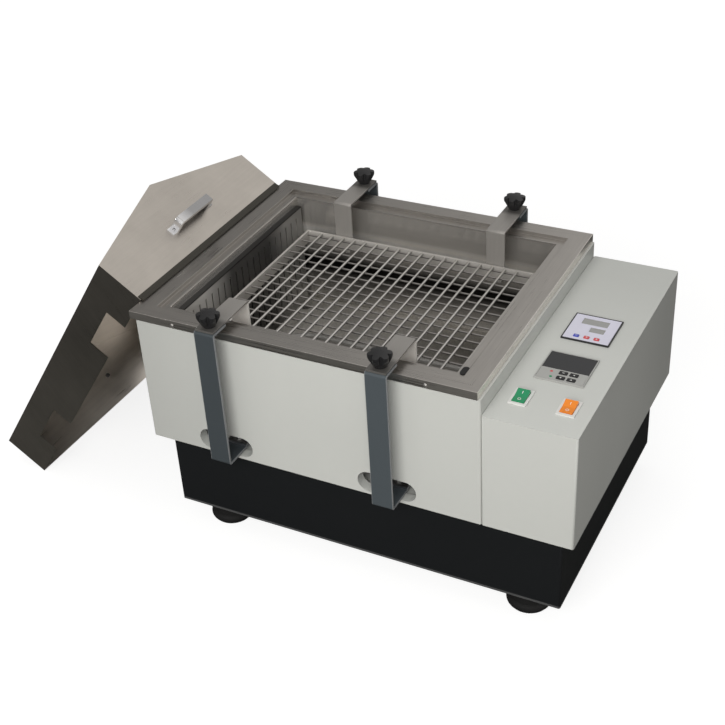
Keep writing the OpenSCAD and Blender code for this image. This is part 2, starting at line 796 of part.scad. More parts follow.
// Rim: a flat frame with a lip outside and a stepped ledge inside
module tank_rim() {
    step_l = rim_l - 2 * rim_flat_x;
    step_w = rim_w - 2 * rim_flat_y;
    color(steel) on_table() translate([tank_x, 0, 0]) difference() {
        union() {
            difference() {
                translate([-rim_l / 2, -rim_w / 2, rim_top - rim_lip]) cube([rim_l, rim_w, rim_lip]);
                translate([-rim_l / 2 + steel_t, -rim_w / 2 + steel_t, rim_top - rim_lip - cut])
                    cube([rim_l - 2 * steel_t, rim_w - 2 * steel_t, rim_lip + cut - steel_t]);
            }
            translate([-step_l / 2 - steel_t, -step_w / 2 - steel_t, ledge_z - steel_t])
                cube([step_l + 2 * steel_t, step_w + 2 * steel_t, rim_step + steel_t]);
        }
        translate([-step_l / 2, -step_w / 2, ledge_z]) cube([step_l, step_w, rim_lip]);
        translate([-tank_l / 2, -tank_w / 2, rim_top - 2 * rim_lip]) cube([tank_l, tank_w, 3 * rim_lip]);
        for (x = [-1, 1], y = [-1, 1])
            translate([x * lip_screw_spacing / 2, y * rim_w / 2, rim_top - lip_screw_drop]) rotate([90, 0, 0])
                cylinder(d = lip_screw_d + 2 * seat, h = 6 * steel_t, center = true);
        translate([plug_x - tank_x, plug_y, ledge_z - 2 * steel_t]) linear_extrude(4 * steel_t)
            rotate(90) obround(plug_l, plug_w);
    }
}

module rim_plug() {
    color(black) on_table() translate([plug_x, plug_y, ledge_z + touch]) rotate(90) {
        linear_extrude(plug_lap) obround(plug_l + 2 * plug_lap, plug_w + 2 * plug_lap);
        translate([0, 0, -3 * steel_t]) linear_extrude(3 * steel_t + plug_lap / 2)
            obround(plug_l - 2 * seat, plug_w - 2 * seat);
    }
}

module lip_screws() {
    color(bright) on_table()
        for (x = [-1, 1], side = [0, 1]) mirror([0, side, 0])
            translate([tank_x + x * lip_screw_spacing / 2, -rim_w / 2 - touch, rim_top - lip_screw_drop])
                rotate([90, 0, 0]) {
                    cylinder(d1 = lip_screw_head, d2 = lip_screw_d, h = steel_t);
                    translate([0, 0, -4 * steel_t]) cylinder(d = lip_screw_d, h = 5 * steel_t);
                }
}

// Slotted sheet in front of the tank's left wall, with a flange to the wall at its top and foot
module baffle() {
    translate([ledge_x + touch, 0, tank_floor + touch]) difference() {
        translate([0, -baffle_w / 2, 0]) cube([baffle_gap + steel_t, baffle_w, baffle_h]);
        translate([-cut, -baffle_w / 2 - cut, steel_t])
            cube([baffle_gap + cut, baffle_w + 2 * cut, baffle_h - 2 * steel_t]);
        for (i = [0 : baffle_slots - 1])
            translate([baffle_gap - cut, (i - (baffle_slots - 1) / 2) * baffle_pitch, baffle_h / 2])
                rotate([0, 90, 0]) linear_extrude(steel_t + 2 * cut)
                    obround(baffle_h - 2 * baffle_margin, baffle_slot);
    }
}

// Heater: one U-shaped tube with a round return at the left, and the slotted sheet beside it
module heater_tube() {
    color(bright) on_table() translate([heater_x0, 0, heater_z]) {
        for (y = [-1, 1]) translate([0, y * heater_reach, 0]) rotate([0, 90, 0])
            cylinder(d = heater_d, h = tank_x + tank_l / 2 + tail_l - heater_x0);
        rotate(90) rotate_extrude(angle = 180) translate([heater_reach, 0]) circle(d = heater_d);
    }
    color(bright) on_table() baffle();
}

module probe_sheath() {
    color(bright) on_table() translate([tank_x + tank_l / 2 + tail_l - probe_l, probe_y, probe_z]) {
        rotate([0, 90, 0]) cylinder(d = probe_d, h = probe_l);
        sphere(d = probe_d);
    }
}

// Panel instrument: a body behind the panel and a bezel with a recess for the face
module instrument(width, y, tint) {
    body_w = width - 2 * bezel_lap - 2 * seat;
    recess_w = width - 2 * bezel_rim;
    color(tint) on_table() translate([control_x, y, control_top + touch]) difference() {
        union() {
            translate([-width / 2, -width / 2, 0]) cube([width, width, bezel_t]);
            translate([-body_w / 2, -body_w / 2, -body_h]) cube([body_w, body_w, body_h + cut]);
        }
        translate([-recess_w / 2, -recess_w / 2, recess_z]) cube([recess_w, recess_w, bezel_t]);
    }
}

module temp_controller() {
    instrument(temp_w, temp_y, black);
}

module speed_controller() {
    instrument(speed_w, speed_y, grey);
}

// Outline of a key, drawn about its middle
module key_outline(size, gap) {
    round_rect(size[0] + 2 * gap, size[1] + 2 * gap, key_r + gap);
}

// Face plate in a bezel's recess, from one height to another along the panel
module face_plate(width, y0, y1) {
    inner_w = width - 2 * bezel_rim - 2 * seat;
    translate([-inner_w / 2, y0, 0]) cube([inner_w, y1 - y0, face_t]);
}

// The two display windows of the temperature controller
module display_outlines(gap) {
    translate([-0.5, 17.8]) square([39 + 2 * gap, 15.5 + 2 * gap], center = true);
    translate([8.2, -2.5]) square([22 + 2 * gap, 12.5 + 2 * gap], center = true);
}

module temp_face() {
    half = temp_w / 2 - bezel_rim - seat;
    color(lavender) on_table() translate([control_x, temp_y, face_z]) difference() {
        face_plate(temp_w, -half, half);
        for (x = temp_key_xs) translate([x, temp_key_y, -cut])
            linear_extrude(face_t + 2 * cut) key_outline(temp_key, free);
        translate([0, 0, face_t - display_t]) linear_extrude(face_t) display_outlines(seat);
    }
}

module temp_displays() {
    color(grey) on_table() translate([control_x, temp_y, face_z + face_t - display_t + touch])
        linear_extrude(display_t - seat) display_outlines(0);
}

// Key that stands in its hole in a face, with room to travel below
module key(x, y, size, tint) {
    foot = control_top + recess_z + key_travel + key_room;
    color(tint) on_table() translate([control_x + x, y, foot])
        linear_extrude(face_z + face_t + key_proud - foot) key_outline(size, 0);
}

module temp_set_key() {
    key(temp_key_xs[0], temp_y + temp_key_y, temp_key, blue);
}

module temp_down_key() {
    key(temp_key_xs[1], temp_y + temp_key_y, temp_key, red);
}

module temp_up_key() {
    key(temp_key_xs[2], temp_y + temp_key_y, temp_key, red);
}

module speed_face() {
    half = speed_w / 2 - bezel_rim - seat;
    color(grey) on_table() translate([control_x, speed_y, face_z]) difference() {
        face_plate(speed_w, -half, half - window_l - seat);
        for (x = speed_key_xs, y = speed_key_ys) translate([x, y, -cut])
            linear_extrude(face_t + 2 * cut) key_outline(speed_key, free);
        for (k = [0, 1]) translate([lamp_xs[k], speed_key_ys[k], -cut])
            cylinder(d = lamp_d + 2 * seat, h = face_t + 2 * cut);
    }
}

module speed_window() {
    half = speed_w / 2 - bezel_rim - seat;
    color(black) on_table() translate([control_x, speed_y, face_z])
        face_plate(speed_w, half - window_l, half);
}

module speed_lamps() {
    color(red) on_table()
        for (k = [0, 1])
            translate([control_x + lamp_xs[k], speed_y + speed_key_ys[k], control_top + recess_z + 2 * touch])
                cylinder(d = lamp_d, h = face_z + face_t - control_top - recess_z);
}

module speed_set_key() {
    key(speed_key_xs[0], speed_y + speed_key_ys[0], speed_key, black);
}

module speed_shift_key() {
    key(speed_key_xs[1], speed_y + speed_key_ys[0], speed_key, black);
}

module speed_down_key() {
    key(speed_key_xs[0], speed_y + speed_key_ys[1], speed_key, black);
}

module speed_up_key() {
    key(speed_key_xs[1], speed_y + speed_key_ys[1], speed_key, black);
}

// Switch frames: a flange on the panel and a well with pivot bores
module rocker_frames() {
    well_w = rocker_w + 2 * free;
    well_l = rocker_l + 2 * rocker_sweep;
    outer_w = rocker_w + 2 * rocker_frame - 2 * seat;
    outer_l = well_l + 2 * rocker_frame - 2 * seat;
    color(white) on_table()
        for (x = [-1, 1]) translate([control_x + x * rocker_spacing / 2, rocker_y, control_top])
        difference() {
            union() {
                translate([0, 0, touch]) linear_extrude(rocker_flange)
                    round_rect(outer_w + 2 * rocker_lap, outer_l + 2 * rocker_lap, rocker_lap);
                translate([-outer_w / 2, -outer_l / 2, -rocker_body_h])
                    cube([outer_w, outer_l, rocker_body_h + cut]);
            }
            translate([-well_w / 2, -well_l / 2, -rocker_body_h + wall])
                cube([well_w, well_l, 2 * rocker_body_h]);
            translate([0, 0, rocker_pivot_z - control_top]) rotate([0, 90, 0])
                cylinder(d = rocker_pin_d + 2 * running, h = 2 * rocker_w, center = true);
        }
}

// Rocker: two pressed faces that meet in a shallow valley, on a cross pin
module rocker(end, tint) {
    half = rocker_l / 2;
    color(tint) on_table()
        translate([control_x + end * rocker_spacing / 2, rocker_y, rocker_pivot_z])
        rotate([rocker_tilt, 0, 0]) {
            along_x(rocker_w) polygon([
                [-half + 3, -rocker_keel], [half - 3, -rocker_keel], [half, 0], [half, rocker_crest],
                [0, rocker_valley], [-half, rocker_crest], [-half, 0]
            ]);
            rotate([0, 90, 0])
                cylinder(d = rocker_pin_d, h = rocker_w + 2 * rocker_frame - 4 * seat, center = true);
        }
}

module green_rocker() {
    rocker(-1, green);
}

module orange_rocker() {
    rocker(1, orange);
}

module cable_gland() {
    color(black) on_table() translate([gland_x, housing_y1 + touch, back_port_z]) rotate([-90, 0, 0])
    difference() {
        union() {
            translate([0, 0, -3 * wall]) cylinder(d = gland_d, h = 3 * wall + cut);
            cylinder(d = gland_d + 8, h = 6, $fn = 6);
            translate([0, 0, 5]) cylinder(d1 = gland_d + 4, d2 = gland_d - 1, h = 13);
        }
        translate([0, 0, -4 * wall]) cylinder(d = gland_d / 2, h = 20 * wall);
    }
}

module fuse_holder() {
    color(black) on_table() translate([fuse_x, housing_y1 + touch, back_port_z]) rotate([-90, 0, 0]) {
        translate([0, 0, -10 * wall]) cylinder(d = fuse_d, h = 10 * wall + cut);
        cylinder(d = fuse_d + 5, h = 3);
        translate([0, 0, 2]) cylinder(d1 = fuse_d + 1, d2 = fuse_d - 1, h = 9);
    }
}

// Bent pipe from the tank floor to the back, of a given diameter
module drain_pipe(d, top, back) {
    cylinder(d = d, h = top);
    sphere(d = d);
    rotate([-90, 0, 0]) cylinder(d = d, h = back);
}

// Drain: a hollow elbow from the tank floor to a hose spout at the back
module drain_spout() {
    top = tank_floor - drain_z;
    back = housing_y1 - drain_y + drain_nut_h + spout_l;
    color(bright) on_table() translate([drain_x, drain_y, drain_z]) difference() {
        union() {
            drain_pipe(drain_d, top, back);
            translate([0, housing_y1 - drain_y + touch, 0]) rotate([-90, 0, 0])
                cylinder(d = drain_nut, h = drain_nut_h, $fn = 6);
        }
        drain_pipe(drain_d - 2 * drain_wall, top + cut, back + cut);
    }
}

// Moves a lid drawn flat, with its lower end at the origin, to its place leaning on the rim
module leaning() {
    translate([lid_foot_x, 0, lid_foot_z]) rotate([0, lid_lean - 90, 0]) children();
}

// Gable section of the lid, inside a given sheet thickness
module gable(t, floor_h) {
    half = lid_w / 2 - t;
    eave = lid_wall_h + t * tan(roof_slope) - t / cos(roof_slope);
    ridge = lid_ridge_h - t / cos(roof_slope);
    polygon([[-half, floor_h], [half, floor_h], [half, eave], [0, ridge], [-half, eave]]);
}

module lid_shell() {
    color(steel) on_table() leaning() difference() {
        translate([lid_l / 2, 0, 0]) along_x(lid_l) gable(0, 0);
        translate([lid_l / 2, 0, 0]) along_x(lid_l - 2 * lid_t) gable(lid_t, -cut);
        for (x = notch_xs)
            translate([x - notch_l / 2, -lid_w, -cut]) cube([notch_l, 2 * lid_w, notch_h + cut]);
        for (x = [0, lid_l], y = [-1, 1]) translate([x, y * handle_span / 2, handle_z]) rotate([0, 90, 0])
            cylinder(d = handle_screw_d + 2 * seat, h = 6 * lid_t, center = true);
    }
}

// Places a handle on the lower and upper end of the lid, standing out along its own +Z
module on_lid_ends() {
    translate([-touch, 0, handle_z]) rotate([0, -90, 0]) children();
    translate([lid_l + touch, 0, handle_z]) rotate([0, 90, 0]) children();
}

// Side outline of a bow handle, drawn as (length, stand-off)
module bow() {
    shoulder = handle_l / 2 - handle_foot / 2 - handle_bar / 2;
    for (y = [-1, 1]) {
        translate([y * handle_span / 2, handle_foot_t / 2])
            square([handle_foot, handle_foot_t], center = true);
        translate([y * shoulder - handle_post / 2, 0]) square([handle_post, handle_h - handle_bar]);
        translate([y * (shoulder + handle_post / 2 - handle_bar), handle_h - handle_bar]) circle(handle_bar);
    }
    translate([-shoulder, handle_h - handle_bar]) square([2 * shoulder, handle_bar]);
}

// Finger gap under the bar of a bow handle
module bow_gap() {
    half = handle_l / 2 - handle_foot / 2 - handle_bar / 2 - handle_post / 2;
    translate([-half, -cut]) square([2 * half, handle_h - handle_bar + cut]);
}

module lid_handles() {
    color(bright) on_table() leaning() on_lid_ends() difference() {
        along_x(handle_w) difference() {
            bow();
            bow_gap();
        }
        for (y = [-1, 1]) translate([0, y * handle_span / 2, -cut])
            cylinder(d = handle_screw_d + 2 * seat, h = 2 * handle_foot_t + cut);
    }
}

module handle_screws() {
    color(steel) on_table() leaning() on_lid_ends()
        for (y = [-1, 1]) translate([0, y * handle_span / 2, -lid_t - 3 * touch]) {
            translate([0, 0, -cut]) cylinder(d = handle_screw_d, h = lid_t + 2 * handle_foot_t);
            translate([0, 0, -handle_screw_head_h]) cylinder(d = handle_screw_head, h = handle_screw_head_h);
        }
}

rubber_feet();
base_shell();
floor_plate();
drive_deck();
gear_motor();
crank();
connecting_rod();
guide_rods();
guide_blocks();
slide_bushes();
carriage_frame();
arm_fasteners();
arm(0, 0);  // front_left_arm
arm(0, 1);  // front_right_arm
arm(1, 0);  // rear_left_arm
arm(1, 1);  // rear_right_arm
hanger(0, 0);  // front_left_hanger
hanger(0, 1);  // front_right_hanger
hanger(1, 0);  // rear_left_hanger
hanger(1, 1);  // rear_right_hanger
knob(0, 0);  // front_left_knob
knob(0, 1);  // front_right_knob
knob(1, 0);  // rear_left_knob
knob(1, 1);  // rear_right_knob
tray_frame();
grid_rods();
grid_wires();
front_panel();
rear_panel();
side_panels();
control_box();
tank_tub();
tank_rim();
lip_screws();
rim_plug();
heater_tube();
probe_sheath();
temp_controller();
temp_face();
temp_displays();
temp_set_key();
temp_down_key();
temp_up_key();
speed_controller();
speed_face();
speed_window();
speed_lamps();
speed_set_key();
speed_shift_key();
speed_down_key();
speed_up_key();
rocker_frames();
green_rocker();
orange_rocker();
cable_gland();
fuse_holder();
drain_spout();
lid_shell();
lid_handles();
handle_screws();
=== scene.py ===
import json
import math

import bmesh
import bpy
from mathutils import Matrix, Vector


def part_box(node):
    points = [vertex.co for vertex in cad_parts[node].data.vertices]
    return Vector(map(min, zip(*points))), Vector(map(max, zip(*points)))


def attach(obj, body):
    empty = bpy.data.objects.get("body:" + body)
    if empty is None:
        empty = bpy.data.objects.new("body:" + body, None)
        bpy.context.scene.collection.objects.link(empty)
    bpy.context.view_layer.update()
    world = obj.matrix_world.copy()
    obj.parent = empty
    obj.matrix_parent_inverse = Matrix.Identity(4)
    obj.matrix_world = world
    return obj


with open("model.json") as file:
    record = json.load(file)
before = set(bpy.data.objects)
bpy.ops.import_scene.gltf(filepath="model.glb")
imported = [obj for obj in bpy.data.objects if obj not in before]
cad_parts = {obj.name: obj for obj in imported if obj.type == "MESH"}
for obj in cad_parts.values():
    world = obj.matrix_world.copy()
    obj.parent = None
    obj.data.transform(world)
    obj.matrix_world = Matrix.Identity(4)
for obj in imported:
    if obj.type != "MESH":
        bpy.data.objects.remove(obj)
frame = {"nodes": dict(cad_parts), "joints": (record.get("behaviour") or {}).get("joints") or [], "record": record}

bl_info = {
    "name": "Shaking water bath",
    "version": (1, 0, 0),
    "blender": (4, 5, 0),
    "location": "View3D > Sidebar > Water bath",
    "description": "Finishes, slot collars, grid welds, panel marks, lid trim and studio of a bath",
    "category": "Object",
}

NODES = frame["nodes"]
JOINTS = {joint["name"]: joint for joint in frame["joints"]}
OPENINGS = {
    opening["name"]: opening for opening in frame["record"]["physics"]["openings"]}
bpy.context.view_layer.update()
MM = 0.001
QUADS = ("front_left", "front_right", "rear_left", "rear_right")

# Collars: sheet, wall of the panel in front of them, and points round each corner.
COLLAR_SHEET, PANEL_WALL, COLLAR_STEPS = 1.2 * MM, 2.2 * MM, 14
# Axes of a ring that stands upright and faces front and back.
UPRIGHT = Matrix(((1.0, 0.0, 0.0), (0.0, 0.0, 1.0), (0.0, 1.0, 0.0))).to_4x4()

# Welds: uneven spread and its phases, turns, and flatness.
WELD_SPREAD, WELD_PHASES, WELD_TURNS, WELD_FLATNESS = 0.12, (12.9, 78.2), (1.7, 0.9), 0.42

# Signs on the rockers: reach and rise from the pivot, slope of the face, ring and bar.
SIGN_REACH, SIGN_RISE, SIGN_SLOPE = 6.9 * MM, 7.24 * MM, math.radians(6.9)
SIGN_RING, SIGN_BAR = (2.5 * MM, 1.7 * MM), (0.5 * MM, 2.4 * MM)
# Signs on the keys.
KEY_ARROW = ((-1.6 * MM, -1.1 * MM), (1.6 * MM, -1.1 * MM), (0.0, 1.5 * MM))
KEY_BAR = (1.8 * MM, 0.4 * MM)

# Trim: inset from the lid's sides, and section in mm up along the lid and out from its edge.
TRIM_INSET = 1.8 * MM
TRIM_SECTION = ((0.03, 6.5), (0.7, 6.5), (1.2, 6.0), (1.2, 0.8), (1.8, 0.2), (2.0, -1.2),
                (1.7, -3.0), (1.0, -4.2), (0.4, -4.4), (0.03, -4.0))

# Edge radii of bent strips, the rim and the knobs; gap that is joined, and angle that is rounded.
STRIP_EDGE, RIM_EDGE, KNOB_EDGE = 0.4 * MM, 0.5 * MM, 1.0 * MM
EDGE_GAP, EDGE_ANGLE = 0.002 * MM, math.radians(40)

# Lamps: name, place, target, size, colour, and whether steel mirrors them.
LAMPS = (
    ("Key", (0.60, -2.5, 1.70), (0.1, 0.0, 0.2), (2.2, 1.4), (1.0, 0.99, 0.965), False),
    ("Top", (0.0, 0.2, 2.7), (0.1, 0.0, 0.3), (2.4, 2.4), (1.0, 0.995, 0.98), False),
    ("Flash", (-1.084, -1.57, 1.394), (0.1, 0.0, 0.3), (0.1, 0.1), (1.0, 0.98, 0.96), True),
)
SENSOR_WIDTH = 36.0
FLOOR_HALF = 8.0


class BathSizes(bpy.types.PropertyGroup):
    """Sizes of the pieces that the finishes add."""

    weld: bpy.props.FloatProperty(
        name="Weld", description="Half width of a weld where a grid rod crosses a wire",
        default=2.5 * MM, min=1.5 * MM, max=4 * MM, unit="LENGTH")
    slot_length: bpy.props.FloatProperty(
        name="Slot length", description="Length of an arm's slot in the housing",
        default=94 * MM, min=80 * MM, max=110 * MM, unit="LENGTH")
    slot_height: bpy.props.FloatProperty(
        name="Slot height", description="Height of an arm's slot in the housing",
        default=34.5 * MM, min=28 * MM, max=40 * MM, unit="LENGTH")
    slot_lift: bpy.props.FloatProperty(
        name="Slot lift", description="Height of the slots above the housing's lower edge",
        default=5 * MM, min=4 * MM, max=7 * MM, unit="LENGTH")
    collar: bpy.props.FloatProperty(
        name="Collar depth", description="Depth of the collar round a slot",
        default=17 * MM, min=6 * MM, max=18 * MM, unit="LENGTH")
    pitch: bpy.props.FloatProperty(
        name="Grid pitch", description="Spacing of the grid's rods and wires",
        default=20.7 * MM, min=15 * MM, max=30 * MM, unit="LENGTH")
    fold: bpy.props.FloatProperty(
        name="Fold", description="Radius of the folded sheet edges",
        default=0.9 * MM, min=0.1 * MM, max=2 * MM, unit="LENGTH")
    moulded: bpy.props.FloatProperty(
        name="Moulded edge", description="Radius of the edges of moulded pieces",
        default=0.5 * MM, min=0.1 * MM, max=1 * MM, unit="LENGTH")
    mark: bpy.props.FloatProperty(
        name="Mark height", description="Thickness of the printed marks",
        default=0.12 * MM, min=0.05 * MM, max=0.5 * MM, unit="LENGTH")
    rocker_tilt: bpy.props.FloatProperty(
        name="Rocker tilt", description="Tilt of a rocker at rest",
        default=math.radians(7), min=0.0, max=math.radians(12), subtype="ANGLE")
    lid_lean: bpy.props.FloatProperty(
        name="Lid lean", description="Angle of the leaning lid from upright",
        default=math.radians(34.003), min=0.0, max=math.radians(60), subtype="ANGLE")


def tint(label, text, default):
    """Colour property in linear light."""
    return bpy.props.FloatVectorProperty(
        name=label, description=text, default=default, size=3, min=0.0, max=1.0,
        subtype="COLOR")


class BathColours(bpy.types.PropertyGroup):
    """Colours of the finishes."""

    housing: tint("Housing paint", "Warm white paint of the housing", (0.596, 0.607, 0.580))
    base: tint("Base paint", "Black paint of the base", (0.0100, 0.0112, 0.0125))
    # Painted highlight: a paler line along the base's lower edge.
    edge_highlight: tint("Painted edge highlight", "Painted highlight along the base's lower edge", (0.085, 0.086, 0.088))
    arms: tint("Arm paint", "Slate paint of the arms and motor", (0.070, 0.084, 0.094))
    # Painted highlight along the arms' edges.
    arm_edge_highlight: tint("Arm edge highlight", "Painted highlight on the arms' edges", (0.24, 0.25, 0.26))
    trim: tint("Trim rubber", "Edge trim of the lid", (0.030, 0.027, 0.020))
    rubber: tint("Rubber", "Rubber of the feet and plug", (0.012, 0.012, 0.012))
    stainless: tint("Stainless", "Brushed rim, hangers and tray frame", (0.55, 0.525, 0.495))
    tank: tint("Tank steel", "Satin stainless of the tank", (0.56, 0.54, 0.51))
    bright: tint("Bright steel", "Rods, fasteners, heater and probe", (0.70, 0.68, 0.65))
    wire: tint("Wire steel", "Lower wires and welds of the grid", (0.44, 0.42, 0.40))
    zinc: tint("Zinc steel", "Plated parts of the drive", (0.52, 0.53, 0.55))
    lid: tint("Lid steel", "Brushed stainless of the lid", (0.550, 0.513, 0.468))
    chrome: tint("Chrome", "Plated bow handles", (0.66, 0.66, 0.67))
    plastic: tint("Black plastic", "Knobs, bezels and keys", (0.016, 0.016, 0.017))
    panel: tint("Panel plastic", "Face of the temperature controller", (0.70, 0.69, 0.80))
    display: tint("Display", "Unlit display windows", (0.34, 0.34, 0.33))
    grey: tint("Grey plastic", "Face of the speed controller", (0.40, 0.40, 0.385))
    window: tint("Dark window", "Window of the speed controller", (0.012, 0.013, 0.016))
    red: tint("Red", "Red keys and lamp", (0.62, 0.08, 0.09))
    blue: tint("Blue", "Blue key", (0.06, 0.08, 0.48))
    white: tint("White plastic", "Switch frames and marks", (0.72, 0.72, 0.70))
    green: tint("Green", "Green rocker and lamp", (0.010, 0.27, 0.11))
    orange: tint("Orange", "Orange rocker", (0.86, 0.24, 0.012))


class BathStage(bpy.types.PropertyGroup):
    """Camera and light."""

    lens: bpy.props.FloatProperty(
        name="Lens", description="Focal length",
        default=65.96, min=20.0, max=200.0, subtype="DISTANCE_CAMERA")
    place: bpy.props.FloatVectorProperty(
        name="Camera", description="Place of the camera",
        default=(0.9616, -1.5672, 1.4116), size=3, unit="LENGTH")
    azimuth: bpy.props.FloatProperty(
        name="Azimuth", description="Turn of the camera to the right",
        default=math.radians(28.693), subtype="ANGLE")
    elevation: bpy.props.FloatProperty(
        name="Elevation", description="Tilt of the camera down",
        default=math.radians(33.409), subtype="ANGLE")
    roll: bpy.props.FloatProperty(
        name="Roll", description="Roll of the camera",
        default=math.radians(-3.620), subtype="ANGLE")
    key: bpy.props.FloatProperty(
        name="Key light", description="Power of the key light",
        default=60.0, min=0.0, unit="POWER")
    top: bpy.props.FloatProperty(
        name="Top light", description="Power of the overhead light",
        default=14.0, min=0.0, unit="POWER")
    flash: bpy.props.FloatProperty(
        name="Flash", description="Power of the small lamp at the left",
        default=0.9, min=0.0, unit="POWER")


def put(tree, kind, values=None, **settings):
    """Places a node in a tree, sets it up, and fills or wires its inputs."""
    node = tree.nodes.new(kind)
    for key, value in settings.items():
        setattr(node, key, value)
    for key, value in (values or {}).items():
        if isinstance(value, bpy.types.NodeSocket):
            tree.links.new(value, node.inputs[key])
        else:
            node.inputs[key].default_value = value
    return node


def calc(tree, operation, a, b=0.0, c=0.0):
    """Result of one sum on values or sockets."""
    return put(tree, "ShaderNodeMath", {0: a, 1: b, 2: c}, operation=operation).outputs[0]


def grain(tree, vector, scale, detail, roughness=0.5):
    """Noise value at a place."""
    return put(tree, "ShaderNodeTexNoise", {
        "Vector": vector, "Scale": scale, "Detail": detail, "Roughness": roughness}).outputs[0]


def varied(tree, value, noise, amount):
    """Value that swings with a noise whose middle is one half."""
    return calc(tree, "MULTIPLY_ADD", calc(tree, "SUBTRACT", noise, 0.5), amount, value)


def shaded(tree, colour, level):
    """Colour multiplied by a value."""
    node = put(tree, "ShaderNodeMix", {0: 1.0, 6: colour, 7: level},
               data_type="RGBA", blend_type="MULTIPLY")
    return node.outputs[2]


def new_group(name, inputs):
    """Node group with a colour, roughness and height output."""
    tree = bpy.data.node_groups.new(name, "ShaderNodeTree")
    for label, kind, default in inputs:
        socket = tree.interface.new_socket(label, in_out="INPUT", socket_type=kind)
        socket.default_value = default
    tree.interface.new_socket("Colour", in_out="OUTPUT", socket_type="NodeSocketColor")
    for label in ("Roughness", "Height"):
        tree.interface.new_socket(label, in_out="OUTPUT", socket_type="NodeSocketFloat")
    return tree, tree.nodes.new("NodeGroupInput").outputs, tree.nodes.new("NodeGroupOutput")


def deliver(tree, end, colour, roughness, height):
    """Wires a group's outputs."""
    for label, socket in (("Colour", colour), ("Roughness", roughness), ("Height", height)):
        tree.links.new(socket, end.inputs[label])


def sheet_paint():
    """Sprayed paint: orange peel, faint mottling and handling marks."""
    tree, given, end = new_group("Sheet paint", (
        ("Colour", "NodeSocketColor", (0.5, 0.5, 0.5, 1.0)),
        ("Roughness", "NodeSocketFloat", 0.4),
        ("Peel", "NodeSocketFloat", 700.0)))
    place = put(tree, "ShaderNodeTexCoord").outputs["Object"]
    cloud = grain(tree, place, 6.0, 3.0)
    speck = grain(tree, place, 90.0, 4.0, 0.7)
    level = calc(tree, "MULTIPLY_ADD", cloud, 0.07, 0.965)
    level = calc(tree, "MULTIPLY_ADD", speck, 0.03, level)
    level = calc(tree, "SUBTRACT", level, 0.015)
    rough = varied(tree, given["Roughness"], cloud, 0.16)
    rough = varied(tree, rough, speck, 0.10)
    peel = grain(tree, place, given["Peel"], 1.0)
    deliver(tree, end, shaded(tree, given["Colour"], level), rough, peel)
    return tree


def brushed_steel():
    """Brushed sheet: drawn lines, cloudy smudges and a little warmth in the colour."""
    tree, given, end = new_group("Brushed steel", (
        ("Colour", "NodeSocketColor", (0.6, 0.58, 0.55, 1.0)),
        ("Roughness", "NodeSocketFloat", 0.3),
        ("Lines", "NodeSocketVector", (20.0, 1500.0, 1500.0)),
        ("Lean", "NodeSocketFloat", 0.0),
        ("Contrast", "NodeSocketFloat", 0.2),
        ("Cloud", "NodeSocketFloat", 0.22)))
    place = put(tree, "ShaderNodeTexCoord").outputs["Object"]
    turned = put(tree, "ShaderNodeVectorRotate", {
        "Vector": place, "Angle": given["Lean"]}, rotation_type="Y_AXIS").outputs[0]
    drawn = put(tree, "ShaderNodeVectorMath", {
        0: turned, 1: given["Lines"]}, operation="MULTIPLY").outputs[0]
    lines = grain(tree, drawn, 1.0, 3.0, 0.6)
    cloud = grain(tree, turned, 9.0, 4.0, 0.6)
    spread = calc(tree, "MULTIPLY", calc(tree, "SUBTRACT", lines, 0.5), given["Contrast"])
    drift = calc(tree, "SUBTRACT", cloud, 0.5)
    level = calc(tree, "MULTIPLY_ADD", drift, given["Cloud"], 1.0)
    level = calc(tree, "ADD", level, spread)
    rough = calc(tree, "MULTIPLY_ADD", drift, 0.16, given["Roughness"])
    rough = calc(tree, "ADD", rough, spread)
    deliver(tree, end, shaded(tree, given["Colour"], level), rough, lines)
    return tree


def moulded_plastic():
    """Moulded plastic: spark-eroded grain and faint flow marks."""
    tree, given, end = new_group("Moulded plastic", (
        ("Colour", "NodeSocketColor", (0.5, 0.5, 0.5, 1.0)),
        ("Roughness", "NodeSocketFloat", 0.4),
        ("Grain", "NodeSocketFloat", 2200.0)))
    place = put(tree, "ShaderNodeTexCoord").outputs["Object"]
    flow = grain(tree, place, 40.0, 2.0)
    spark = grain(tree, place, given["Grain"], 2.0, 0.6)
    level = calc(tree, "MULTIPLY_ADD", flow, 0.10, 0.95)
    rough = varied(tree, given["Roughness"], flow, 0.14)
    rough = varied(tree, rough, spark, 0.12)
    deliver(tree, end, shaded(tree, given["Colour"], level), rough, spark)
    return tree


GROUP_MAKERS = {"paint": sheet_paint, "steel": brushed_steel, "plastic": moulded_plastic}
GROUPS = {}
RELIEF_DEPTH = 0.05 * MM


def finish(name, kind, colour, roughness, metallic=0.0, bump=0.1, coat=0.0, **values):
    """Material that draws its colour, gloss and relief from one of the shared groups."""
    if kind not in GROUPS:
        GROUPS[kind] = GROUP_MAKERS[kind]()
    material = bpy.data.materials.new(name)
    material.use_nodes = True
    tree = material.node_tree
    shader = tree.nodes["Principled BSDF"]
    group = put(tree, "ShaderNodeGroup", node_tree=GROUPS[kind])
    group.inputs["Colour"].default_value = (*colour, 1.0)
    group.inputs["Roughness"].default_value = roughness
    for key, value in values.items():
        group.inputs[key].default_value = value
    relief = put(tree, "ShaderNodeBump", {
        "Strength": bump, "Distance": RELIEF_DEPTH, "Height": group.outputs["Height"]})
    shader.inputs["Metallic"].default_value = metallic
    shader.inputs["Coat Weight"].default_value = coat
    tree.links.new(group.outputs["Colour"], shader.inputs["Base Color"])
    tree.links.new(group.outputs["Roughness"], shader.inputs["Roughness"])
    tree.links.new(relief.outputs[0], shader.inputs["Normal"])
    return material


def position(tree):
    """Sockets with the place on the object along each axis."""
    place = put(tree, "ShaderNodeTexCoord").outputs["Object"]
    return put(tree, "ShaderNodeSeparateXYZ", {0: place}).outputs


